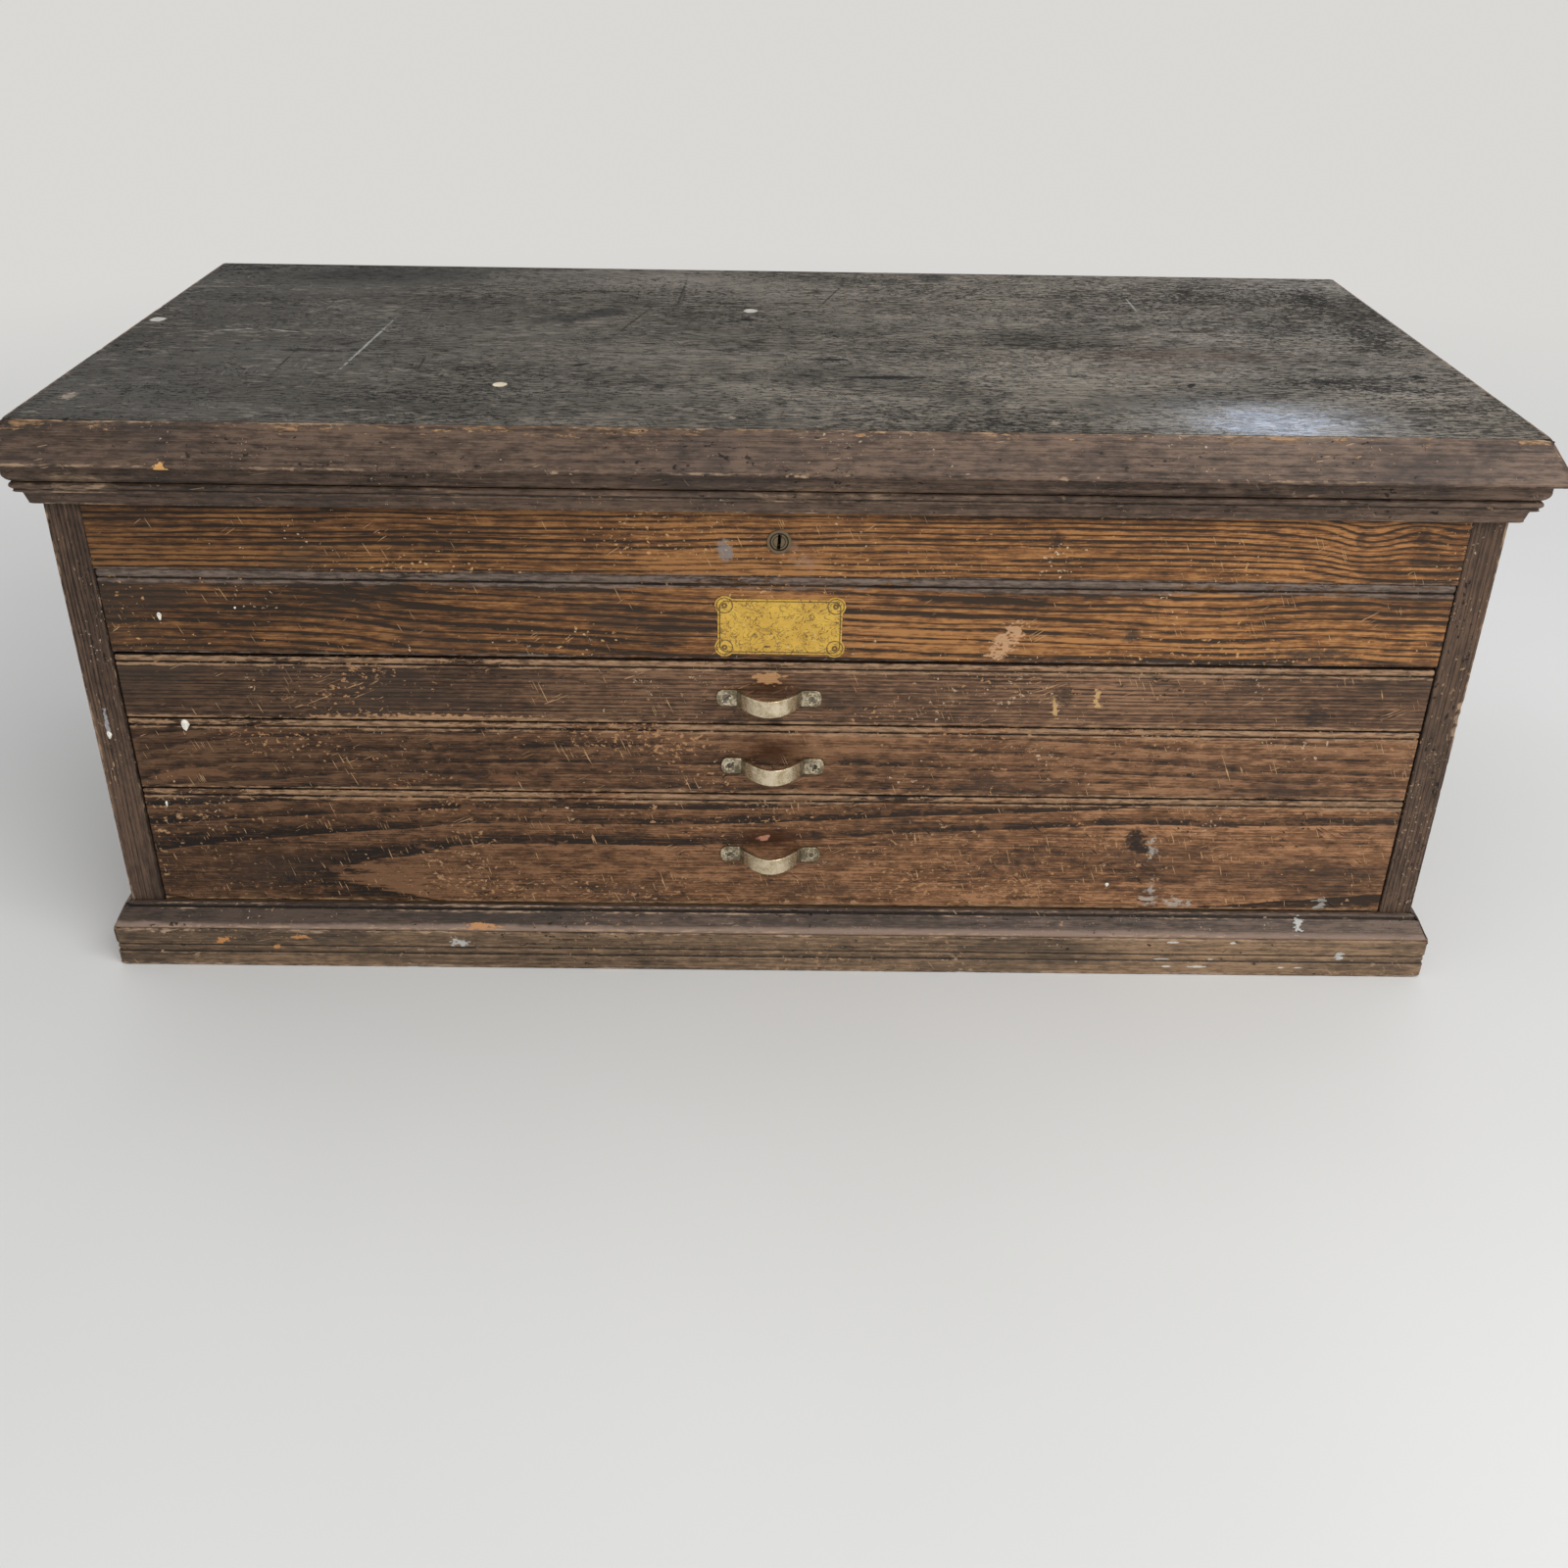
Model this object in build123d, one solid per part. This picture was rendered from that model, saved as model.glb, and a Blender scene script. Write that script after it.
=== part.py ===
from build123d import *
import math
import os

os.makedirs("parts", exist_ok=True)

# Lengths are millimetres. +Z is up, +X is to the right of someone facing the drawers,
# +Y runs from the drawers to the back. The origin is under the middle of the chest, on the floor.

# Case boards
case_width = 914.4
case_depth = 431.8
side_thickness = 23.0
rail_thickness = 22.0
back_thickness = 19.0
back_board_count = 3
back_rabbet = 10.0
tongue_height = 6.0
tongue_thickness = 6.0
housing_depth = 6.0
tenon_thickness = 10.0
tenon_shoulder = 8.0
bottom_thickness = 15.0
bottom_drop = 1.5
well_floor_thickness = 10.0
well_floor_lift = 2.0
well_floor_groove = 5.0

# Front, stacked from the floor up
base_height = 48.0
bottom_drawer_gap = 0.5
bottom_drawer_height = 90.4
middle_drawer_height = 52.6
top_drawer_height = 45.5
drawer_gap = 1.2
top_drawer_gap = 2.1
label_rail_height = 58.1
lock_rail_height = 73.2

# Bead and quirk along the upper edges of the label rail and the drawer fronts
bead_height = 4.2
quirk_height = 1.0
quirk_depth = 1.1

# Base: a reeded plinth with a sloping cap above it
cap_height = 16.6
plinth_thickness = 13.2
plinth_round = 1.2
reed_height = 14.8
reed_width = 5.6
reed_depth = 1.2
reed_proud = 0.9
cap_foot = 12.1
cap_foot_height = 1.0
cap_shoulder = 5.6
cap_ledge = 3.6
cap_fillet_height = 3.2

# Cornice round the top of the case
cornice_height = 16.0
cornice_thickness = 13.3
cornice_bead = 4.5
cornice_step = 2.3
cornice_step_inset = 1.8
cornice_fascia = 7.4
cornice_fascia_height = 5.7
cornice_foot = 6.0

# Lid
lid_thickness = 25.6
lid_overhang = 25.0
lid_panel_overhang = 8.0
lid_seat_gap = 0.2
bevel_height = 23.0
bevel_width = 15.1
nose_round = 1.4
skirt_height = 12.2
skirt_thickness = 14.9
skirt_round_height = 6.9
skirt_round_width = 3.45
skirt_clearance = 0.5
batten_width = 45.0
batten_thickness = 12.0
batten_offset = 250.0
batten_end_gap = 8.0

# Butt hinges
hinge_length = 76.0
hinge_spacing = 330.0
hinge_leaf_depth = 17.0
hinge_leaf_thickness = 2.0
hinge_knuckles = 5
hinge_knuckle_gap = 0.3
hinge_barrel_radius = 4.0
hinge_barrel_gap = 0.3
hinge_pin_radius = 2.0
hinge_pin_clearance = 0.05

# Drawers
drawer_side_gap = 0.8
drawer_rear_gap = 6.0
drawer_front_thickness = 19.0
drawer_side_thickness = 13.0
drawer_side_drop = 3.0
drawer_back_thickness = 11.0
drawer_back_drop = 3.0
drawer_back_inset = 14.0
drawer_back_housing = 3.0
drawer_bottom_thickness = 6.0
drawer_bottom_lift = 5.0
drawer_bottom_groove = 5.0
dovetail_length = 11.0
dovetail_pitch = 22.0
dovetail_share = 0.5
dovetail_flare = 1.6

# Runners fixed to the side boards, one in a groove of each drawer side
runner_height = 9.0
runner_reach = 6.0
runner_housing = 3.0
runner_clearance = 0.3
runner_end_clearance = 0.5
runner_front_gap = 0.5

# Strap pulls
pull_length = 69.2
pull_height = 12.0
pull_strap = 2.2
pull_bow_radius = 19.4
pull_corner = 4.0
pull_fillet = 1.8
pull_screw_spacing = 57.0
top_pull_offset = (-5.2, -2.4)
middle_pull_offset = (-2.2, -3.4)
bottom_pull_offset = (-3.1, -1.2)

# Wood screws with slotted countersunk heads
screw_head_radius = 3.7
screw_shank_radius = 1.8
screw_length = 15.0
screw_slot_width = 0.9
screw_slot_depth = 0.9
screw_clearance = 0.05
hinge_screw_spacing = 24.0
batten_screw_spacing = 150.0

# How far each screw's slot is turned, in degrees
hinge_screw_turn = 20
batten_screw_turn = 30
lock_plate_screw_turns = (10, -25)
link_plate_screw_turns = (35, -10)
pull_screw_turns = (40, 85)

# Lock in the upper rail
lock_height = 24.2
lock_case_width = 60.0
lock_case_thickness = 13.0
lock_case_drop = 18.0
lock_wall = 1.5
lock_plate_width = 82.0
lock_plate_thickness = 2.0
lock_flange_radius = 7.8
lock_flange_proud = 1.2
lock_barrel_radius = 7.0
lock_barrel_clearance = 0.05
lock_plug_radius = 5.45
lock_plug_clearance = 0.05
lock_plug_recess = 0.3
lock_plug_tail = 1.7
key_slot_height = 10.0
key_slot_width = 2.2
key_slot_depth = 7.0
key_slot_tilt = 5.0
cam_throw = 4.243
cam_pin_radius = 1.0
cam_pin_clearance = 0.35
bolt_travel = 6.0
bolt_bar_height = 6.0
bolt_bar_lift = 8.0
bolt_bar_side_gap = 0.5
bolt_finger = 4.0
bolt_finger_gap = 0.8
bolt_post_gap = 0.3
bolt_tail_width = 8.0
bolt_tail_thickness = 5.0
staple_spacing = 32.0
staple_offset = 2.0
staple_thickness = 3.0
staple_width = 9.0
staple_reach = 13.5
staple_hole = 5.0
staple_sill = 2.0
staple_side_gap = 1.0
link_plate_width = 74.0

# Label on the rail under the lock
label_width = 84.7
label_height = 42.5
label_lobe_radius = 6.5
label_lobe_proud = 1.2
label_thickness = 0.3
label_offset = 1.3
label_lift = 2.4

# Sliding till in the well
till_height = 50.0
till_depth = 185.0
till_drop = 17.0
till_wall = 10.0
till_end_wall = 12.0
till_side_gap = 1.0
till_rear_gap = 2.0
till_seat_gap = 0.2
till_bottom_thickness = 5.0
till_bottom_lift = 2.0
till_groove = 4.0
till_divider_count = 3
till_divider_thickness = 6.0
till_divider_drop = 6.0
till_divider_housing = 3.0
till_rail_height = 14.0
till_rail_thickness = 12.0

# Depths worked out from the sizes above
overall_depth = lid_overhang + case_depth + hinge_barrel_gap + 2 * hinge_barrel_radius
front_y = lid_overhang - overall_depth / 2
back_y = front_y + case_depth
back_inner_y = back_y - back_thickness
rail_inner_y = front_y + rail_thickness
hinge_y = back_y + hinge_barrel_gap + hinge_barrel_radius
half_width = case_width / 2
inner_half = half_width - side_thickness

# Heights worked out from the sizes above
plinth_height = base_height - cap_height
bottom_drawer_z = base_height + bottom_drawer_gap
middle_drawer_z = bottom_drawer_z + bottom_drawer_height + drawer_gap
top_drawer_z = middle_drawer_z + middle_drawer_height + drawer_gap
label_rail_z = top_drawer_z + top_drawer_height + top_drawer_gap
lock_rail_z = label_rail_z + label_rail_height
case_height = lock_rail_z + lock_rail_height
lid_z = case_height + lid_seat_gap
lid_top_z = lid_z + lid_thickness
cornice_top_z = lid_z - skirt_height - skirt_clearance
hinge_z = case_height + lid_seat_gap / 2
lock_z = lock_rail_z + lock_height
till_z = case_height - till_drop - till_height
till_rail_z = till_z - till_seat_gap - till_rail_height
bottom_board_z = base_height - bottom_drop - bottom_thickness
well_floor_z = label_rail_z + well_floor_lift

DRAWERS = {
    "top": (top_drawer_z, top_drawer_height, top_pull_offset),
    "middle": (middle_drawer_z, middle_drawer_height, middle_pull_offset),
    "bottom": (bottom_drawer_z, bottom_drawer_height, bottom_pull_offset),
}
hinge_centres = (-hinge_spacing, 0.0, hinge_spacing)
batten_centres = (-batten_offset, batten_offset)
staple_centres = (staple_offset - staple_spacing / 2, staple_offset + staple_spacing / 2)


def box(x0, x1, y0, y1, z0, z1):
    """A block between two opposite corners."""
    block = Box(x1 - x0, y1 - y0, z1 - z0)
    return Pos((x0 + x1) / 2, (y0 + y1) / 2, (z0 + z1) / 2) * block


def along_x(profile, x0, x1):
    """Run a (y, z) profile from x0 to x1."""
    section = Plane(origin=(x0, 0, 0), x_dir=(0, 1, 0), z_dir=(1, 0, 0)) * profile
    return extrude(section, x1 - x0, dir=(1, 0, 0))


def rod_y(radius, x, z, y0, y1):
    """A round bar that lies front to back."""
    rod = Cylinder(radius, y1 - y0, rotation=(90, 0, 0))
    return Pos(x, (y0 + y1) / 2, z) * rod


def rod_x(radius, y, z, x0, x1):
    """A round bar that lies side to side."""
    rod = Cylinder(radius, x1 - x0, rotation=(0, 90, 0))
    return Pos((x0 + x1) / 2, y, z) * rod


def write(name, *solids):
    """Write one node from one or more separate solids."""
    shape = solids[0] if len(solids) == 1 else Compound(children=list(solids))
    shape.label = name
    export_step(shape, f"parts/{name}.step")


def wood_screw():
    """A slotted countersunk screw: its head is in the XY plane and its point is down."""
    cone_height = screw_head_radius - screw_shank_radius
    head = Pos(0, 0, -cone_height / 2) * Cone(screw_shank_radius, screw_head_radius, cone_height)
    shank_length = screw_length - cone_height
    shank = Pos(0, 0, -cone_height - shank_length / 2) * Cylinder(screw_shank_radius, shank_length)
    slot = Pos(0, 0, -screw_slot_depth / 2) * Box(3 * screw_head_radius, screw_slot_width, screw_slot_depth)
    return head + shank - slot


def screw_hole():
    """The hole that a wood screw fills, with its clearance."""
    cone_height = screw_head_radius - screw_shank_radius
    hole_radius = screw_shank_radius + screw_clearance
    head_radius = screw_head_radius + screw_clearance
    head = Pos(0, 0, -cone_height / 2) * Cone(hole_radius, head_radius, cone_height)
    depth = screw_length + screw_clearance
    return head + Pos(0, 0, -depth / 2) * Cylinder(hole_radius, depth)


def downward(x, y, z, turn=0):
    """Place a screw that is driven down from (x, y, z)."""
    return Pos(x, y, z) * Rot(0, 0, turn)


def upward(x, y, z, turn=0):
    """Place a screw that is driven up from (x, y, z)."""
    return Pos(x, y, z) * Rot(180, 0, turn)


def inward(x, y, z, turn=0):
    """Place a screw that is driven from the front towards the back."""
    return Pos(x, y, z) * Rot(90, 0, 0) * Rot(0, 0, turn)


def with_holes(solid, places):
    """Cut a screw hole at each place."""
    for place in places:
        solid = solid - place * screw_hole()
    return solid


def front_moulding(profile):
    """Run an (offset, height) profile along the front, mitred at both corners."""
    reach = profile.bounding_box().max.X
    end = half_width + reach
    section = Plane(origin=(end, front_y, 0), x_dir=(0, -1, 0), z_dir=(-1, 0, 0)) * profile
    bar = extrude(section, 2 * end, dir=(-1, 0, 0))
    corners = [
        (-half_width, front_y),
        (half_width, front_y),
        (end, front_y - reach),
        (-end, front_y - reach),
    ]
    wedge = extrude(make_face(Polyline(*corners, close=True)), lid_top_z)
    return bar & wedge


def right_moulding(profile):
    """Run an (offset, height) profile along the right side, mitred at the front corner."""
    reach = profile.bounding_box().max.X
    section = Plane(origin=(half_width, back_y, 0), x_dir=(1, 0, 0), z_dir=(0, -1, 0)) * profile
    bar = extrude(section, case_depth + reach, dir=(0, -1, 0))
    corners = [
        (half_width, front_y),
        (half_width + reach, front_y - reach),
        (half_width + reach, back_y),
        (half_width, back_y),
    ]
    wedge = extrude(make_face(Polyline(*corners, close=True)), lid_top_z)
    return bar & wedge


def write_mouldings(name, profile):
    """Write the front, right and left runs of one moulding."""
    right = right_moulding(profile)
    write(f"{name}_front", front_moulding(profile))
    write(f"{name}_right", right)
    write(f"{name}_left", mirror(right, about=Plane.YZ))


def plinth_profile():
    """A board with a rounded lower edge and one reed between two grooves."""
    face = plinth_thickness
    groove = face - reed_depth
    low = reed_height - reed_width / 2
    high = reed_height + reed_width / 2
    outline = Polyline((0, 0), (face - plinth_round, 0))
    outline += Line((face - plinth_round, 0), (face, plinth_round))
    outline += Polyline((face, plinth_round), (face, low - reed_depth), (groove, low))
    outline += ThreePointArc((groove, low), (groove + reed_proud, reed_height), (groove, high))
    outline += Polyline((groove, high), (face, high + reed_depth), (face, plinth_height - plinth_round))
    outline += Polyline((face, plinth_height - plinth_round), (face - plinth_round, plinth_height))
    outline += Polyline((face - plinth_round, plinth_height), (0, plinth_height), (0, 0))
    return make_face(outline)


def cap_profile():
    """A steep slope between a thin foot and a square fillet with a ledge."""
    shoulder_z = base_height - cap_fillet_height
    points = [
        (0, plinth_height),
        (cap_foot, plinth_height),
        (cap_foot, plinth_height + cap_foot_height),
        (cap_shoulder, shoulder_z),
        (cap_ledge, shoulder_z),
        (cap_ledge, base_height),
        (0, base_height),
    ]
    return make_face(Polyline(*points, close=True))


def cornice_profile():
    """From the top: a bead, a small step, a cove and a nearly upright fascia."""
    bead_z = cornice_top_z - cornice_bead
    step_z = bead_z - cornice_step
    foot_z = cornice_top_z - cornice_height
    fascia_z = foot_z + cornice_fascia_height
    step = cornice_thickness - cornice_step_inset
    inner_step = (step + cornice_fascia) / 2
    cove_z = fascia_z + (step_z - fascia_z) / 2
    bead_mid = (cornice_thickness, cornice_top_z - cornice_bead / 2)
    cove_mid = (cornice_fascia + (inner_step - cornice_fascia) / 4, cove_z)
    outline = Line((0, cornice_top_z), (step, cornice_top_z))
    outline += ThreePointArc((step, cornice_top_z), bead_mid, (step, bead_z))
    outline += Polyline((step, bead_z), (step, step_z), (inner_step, step_z))
    outline += ThreePointArc((inner_step, step_z), cove_mid, (cornice_fascia, fascia_z))
    outline += Polyline((cornice_fascia, fascia_z), (cornice_foot, foot_z), (0, foot_z))
    outline += Line((0, foot_z), (0, cornice_top_z))
    return make_face(outline)


def rim_profile():
    """The bevelled edge of the lid, with a rounded nose under the bevel."""
    bevel_z = lid_top_z - bevel_height
    top = lid_overhang - bevel_width
    outline = Polyline((lid_panel_overhang, lid_z), (lid_overhang - nose_round, lid_z))
    arc_inset = nose_round * (1 - math.sqrt(0.5))
    nose_mid = (lid_overhang - arc_inset, lid_z + arc_inset)
    nose_top = (lid_overhang, lid_z + nose_round)
    outline += ThreePointArc((lid_overhang - nose_round, lid_z), nose_mid, nose_top)
    outline += Polyline(nose_top, (lid_overhang, bevel_z), (top, lid_top_z))
    outline += Polyline((top, lid_top_z), (lid_panel_overhang, lid_top_z), (lid_panel_overhang, lid_z))
    return make_face(outline)


def skirt_profile():
    """The strip under the lid that closes round the outside of the case."""
    foot_z = lid_z - skirt_height
    outer = skirt_clearance + skirt_thickness
    round_top = (outer, foot_z + skirt_round_height)
    round_end = (outer - skirt_round_width, foot_z)
    outline = Polyline((skirt_clearance, lid_z), (outer, lid_z), round_top)
    outline += TangentArc(round_top, round_end, tangent=(0, -1))
    outline += Polyline(round_end, (skirt_clearance, foot_z), (skirt_clearance, lid_z))
    return make_face(outline)


def beaded_profile(thickness, z, height):
    """A board's (y, z) section with a bead and quirk along its upper front edge."""
    top = z + height
    bead_z = top - bead_height
    quirk_y = front_y + quirk_depth
    bead_end = (front_y + bead_height / 3, top)
    outline = Polyline((front_y, z), (front_y, bead_z - quirk_height), (quirk_y, bead_z - quirk_height / 2))
    outline += Line((quirk_y, bead_z - quirk_height / 2), (quirk_y, bead_z))
    outline += ThreePointArc((quirk_y, bead_z), (front_y, top - bead_height / 2), bead_end)
    outline += Polyline(bead_end, (front_y + thickness, top), (front_y + thickness, z), (front_y, z))
    return make_face(outline)


def rail_tenons(z, height):
    """The stub tenons on both ends of a front rail."""
    y0 = front_y + (rail_thickness - tenon_thickness) / 2
    z0 = z + tenon_shoulder
    z1 = z + height - tenon_shoulder
    reach = inner_half + housing_depth
    return box(-reach, reach, y0, y0 + tenon_thickness, z0, z1)


def runner_block(z, height, side):
    """One drawer runner, let into its side board."""
    z0 = z + height / 2 - runner_height / 2
    y0 = front_y + drawer_front_thickness + runner_front_gap
    x0 = inner_half - runner_reach
    x1 = inner_half + runner_housing
    if side < 0:
        x0, x1 = -x1, -x0
    return box(x0, x1, y0, back_inner_y, z0, z0 + runner_height)


def well_floor():
    """The board between the well and the drawers."""
    reach = inner_half + housing_depth
    y0 = rail_inner_y - well_floor_groove
    return box(-reach, reach, y0, back_inner_y, well_floor_z, well_floor_z + well_floor_thickness)


def bottom_board():
    """The board under the drawers."""
    reach = inner_half + housing_depth
    return box(-reach, reach, front_y, back_inner_y, bottom_board_z, bottom_board_z + bottom_thickness)


def side_board():
    """The right side board, with housings for all that is let into it."""
    board = box(inner_half, half_width, front_y, back_y, 0, case_height)
    board -= box(0, inner_half + back_rabbet, back_inner_y, back_y, 0, case_height)
    board -= well_floor()
    board -= bottom_board()
    board -= rail_tenons(label_rail_z, label_rail_height)
    board -= rail_tenons(lock_rail_z, lock_rail_height)
    for z, height, _ in DRAWERS.values():
        board -= runner_block(z, height, 1)
    return board


def case_leaf_screws():
    """Where screws hold the lower hinge leaves to the back."""
    places = []
    for centre in hinge_centres:
        for step in (-1, 0, 1):
            x = centre + step * hinge_screw_spacing
            places.append(downward(x, back_y - back_thickness / 2, case_height, hinge_screw_turn * step))
    return places


def lid_leaf_screws():
    """Where screws hold the upper hinge leaves to the lid."""
    places = []
    for centre in hinge_centres:
        for step in (-1, 0, 1):
            x = centre + step * hinge_screw_spacing
            places.append(upward(x, back_y - back_thickness / 2, lid_z, hinge_screw_turn * step))
    return places


def hinge_leaf(centre, z0, z1, first):
    """One leaf with every second knuckle, bored for the pin."""
    x0 = centre - hinge_length / 2
    pitch = hinge_length / hinge_knuckles
    leaf = box(x0, x0 + hinge_length, back_y - hinge_leaf_depth, back_y, z0, z1)
    for index in range(first, hinge_knuckles, 2):
        k0 = x0 + index * pitch + hinge_knuckle_gap / 2
        k1 = x0 + (index + 1) * pitch - hinge_knuckle_gap / 2
        leaf += box(k0, k1, back_y, hinge_y, z0, z1)
        leaf += rod_x(hinge_barrel_radius, hinge_y, hinge_z, k0, k1)
    bore = rod_x(hinge_pin_radius + hinge_pin_clearance, hinge_y, hinge_z, x0, x0 + hinge_length)
    return leaf - bore


def leaf_recess(centre, z0, z1):
    """The pocket that a hinge leaf lies in."""
    x0 = centre - hinge_length / 2
    return box(x0, x0 + hinge_length, back_y - hinge_leaf_depth, back_y, z0, z1)


def back_boards():
    """Level boards tongued into each other, let into rabbets of the side boards."""
    height = case_height / back_board_count
    reach = inner_half + back_rabbet
    y0 = back_inner_y + (back_thickness - tongue_thickness) / 2
    boards = []
    for index in range(back_board_count):
        z0 = index * height
        board = box(-reach, reach, back_inner_y, back_y, z0, z0 + height)
        if index > 0:
            board -= box(-reach, reach, y0, y0 + tongue_thickness, z0, z0 + tongue_height)
        if index < back_board_count - 1:
            z1 = z0 + height
            board += box(-reach, reach, y0, y0 + tongue_thickness, z1, z1 + tongue_height)
        else:
            for centre in hinge_centres:
                board -= leaf_recess(centre, case_height - hinge_leaf_thickness, case_height)
            board = with_holes(board, case_leaf_screws())
        boards.append(board)
    return boards


def label_rail():
    """The beaded rail that carries the label."""
    rail = along_x(beaded_profile(rail_thickness, label_rail_z, label_rail_height), -inner_half, inner_half)
    rail += rail_tenons(label_rail_z, label_rail_height)
    return rail - well_floor()


def lock_y0():
    """The front of the lock case, whose back is flush with the rail's inner face."""
    return rail_inner_y - lock_case_thickness


def lock_plate_screws():
    """Where screws hold the lock's top plate to the rail."""
    x = (lock_plate_width + lock_case_width) / 4
    y = rail_inner_y - lock_case_thickness / 2
    left_turn, right_turn = lock_plate_screw_turns
    return [downward(-x, y, case_height, left_turn), downward(x, y, case_height, right_turn)]


def lock_outline():
    """The space that the lock case and its top plate take up in the rail."""
    half = lock_case_width / 2
    z0 = lock_z - lock_case_drop
    body = box(-half, half, lock_y0(), rail_inner_y, z0, case_height)
    half = lock_plate_width / 2
    z0 = case_height - lock_plate_thickness
    return body + box(-half, half, lock_y0(), rail_inner_y, z0, case_height)


def lock_rail():
    """The rail that the lid closes on, with the lock let into its inner face."""
    rail = box(-inner_half, inner_half, front_y, rail_inner_y, lock_rail_z, case_height)
    rail += rail_tenons(lock_rail_z, lock_rail_height)
    rail -= lock_outline()
    rail -= rod_y(lock_barrel_radius + lock_barrel_clearance, 0, lock_z, front_y, lock_y0())
    return with_holes(rail, lock_plate_screws())


def lock_case():
    """A thin case with its top plate, open where the staples and the plug go in."""
    half = lock_case_width / 2 - lock_wall
    y0 = lock_y0() + lock_wall
    y1 = rail_inner_y - lock_wall
    z0 = lock_z - lock_case_drop + lock_wall
    shell = lock_outline() - box(-half, half, y0, y1, z0, case_height - lock_plate_thickness)
    shell -= rod_y(lock_plug_radius + lock_plug_clearance, 0, lock_z, lock_y0(), y0)
    gap = staple_thickness / 2 + staple_side_gap
    for x in staple_centres:
        shell -= box(x - gap, x + gap, y0, y1, z0, case_height)
    return with_holes(shell, lock_plate_screws())


def lock_barrel():
    """The fixed round face of the lock and the sleeve behind it."""
    sleeve = rod_y(lock_barrel_radius, 0, lock_z, front_y, lock_y0())
    flange = rod_y(lock_flange_radius, 0, lock_z, front_y - lock_flange_proud, front_y)
    bore = rod_y(lock_plug_radius + lock_plug_clearance, 0, lock_z, front_y - lock_flange_proud, lock_y0())
    return sleeve + flange - bore


def cam_rest_offset():
    """How far left of the plug's axis the cam pin stands before the key is turned."""
    return -cam_throw * math.sin(math.radians(45))


def lock_plug():
    """The part that the key turns, with a cam pin at its tail."""
    y0 = front_y - lock_flange_proud + lock_plug_recess
    y1 = lock_y0() + lock_wall + lock_plug_tail
    plug = rod_y(lock_plug_radius, 0, lock_z, y0, y1)
    slot = Box(key_slot_width, 2 * key_slot_depth, key_slot_height)
    plug -= Pos(0, y0, lock_z) * Rot(0, key_slot_tilt, 0) * slot
    pin_x = cam_rest_offset()
    pin_end = y1 + bolt_tail_thickness + bolt_bar_side_gap
    return plug + rod_y(cam_pin_radius, pin_x, lock_z - pin_x, y1, pin_end)


def lock_bolt():
    """A bar with two hooked fingers that slide into the lid's staples."""
    y0 = lock_y0() + lock_wall
    y1 = rail_inner_y - lock_wall
    middle = (y0 + y1) / 2
    bar_z = lock_z + bolt_bar_lift
    half_finger = bolt_finger / 2
    finger_top = lid_z - staple_reach + staple_sill + staple_hole / 2 + half_finger
    finger_length = bolt_travel - bolt_finger_gap + bolt_post_gap
    posts = []
    for x in staple_centres:
        tip = x - staple_thickness / 2 - bolt_finger_gap
        root = tip - finger_length
        post = box(root - bolt_finger, root, middle - half_finger, middle + half_finger, bar_z, finger_top)
        finger_z = finger_top - bolt_finger
        finger = box(root, tip, middle - half_finger, middle + half_finger, finger_z, finger_top)
        posts.append(post + finger)
    x0 = staple_centres[0] - staple_thickness / 2 - bolt_finger_gap - finger_length - bolt_finger
    x1 = staple_centres[1] - staple_thickness / 2 - bolt_finger_gap - finger_length
    bar = box(x0, x1, y0 + bolt_bar_side_gap, y1 - bolt_bar_side_gap, bar_z, bar_z + bolt_bar_height)
    tail_y0 = lock_y0() + lock_wall + lock_plug_tail + bolt_bar_side_gap
    tail_y1 = tail_y0 + bolt_tail_thickness
    tail_x = cam_rest_offset()
    half_tail = bolt_tail_width / 2
    tail = box(tail_x - half_tail, tail_x + half_tail, tail_y0, tail_y1, lock_z, bar_z)
    slot_half = cam_pin_radius + cam_pin_clearance
    slot_z0 = lock_z - tail_x - slot_half
    slot_z1 = lock_z + cam_throw + slot_half
    tail -= box(tail_x - slot_half, tail_x + slot_half, tail_y0, tail_y1, slot_z0, slot_z1)
    return bar + posts[0] + posts[1] + tail


def link_plate_screws():
    """Where screws hold the staple plate to the lid."""
    x = link_plate_width / 2 - 2 * screw_head_radius
    y = rail_inner_y - lock_case_thickness / 2
    left_turn, right_turn = link_plate_screw_turns
    return [upward(-x, y, lid_z, left_turn), upward(x, y, lid_z, right_turn)]


def link_plate_outline():
    """The pocket in the lid for the staple plate."""
    half = link_plate_width / 2
    z1 = lid_z + lock_plate_thickness
    return box(-half, half, rail_inner_y - lock_case_thickness, rail_inner_y, lid_z, z1)


def lock_link_plate():
    """The plate under the lid, whose two staples drop into the lock."""
    plate = link_plate_outline()
    middle = rail_inner_y - lock_case_thickness / 2
    y0 = middle - staple_width / 2
    for x in staple_centres:
        x0 = x - staple_thickness / 2
        staple = box(x0, x0 + staple_thickness, y0, y0 + staple_width, lid_z - staple_reach, lid_z)
        hole_z = lid_z - staple_reach + staple_sill
        hole = box(x0, x0 + staple_thickness, middle - staple_hole / 2, middle + staple_hole / 2,
                   hole_z, hole_z + staple_hole)
        plate += staple - hole
    return with_holes(plate, link_plate_screws())


def label_plate():
    """A thin rectangular label with a round lobe at each corner."""
    half_w = label_width / 2
    half_h = label_height / 2
    outline = Rectangle(label_width - 2 * label_lobe_proud, label_height - 2 * label_lobe_proud)
    for x in (-half_w + label_lobe_radius, half_w - label_lobe_radius):
        for y in (-half_h + label_lobe_radius, half_h - label_lobe_radius):
            outline += Pos(x, y) * Circle(label_lobe_radius)
    z = label_rail_z + label_lift + half_h
    place = Plane(origin=(label_offset, front_y, z), x_dir=(1, 0, 0), z_dir=(0, -1, 0))
    return extrude(place * outline, label_thickness, dir=(0, -1, 0))


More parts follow.
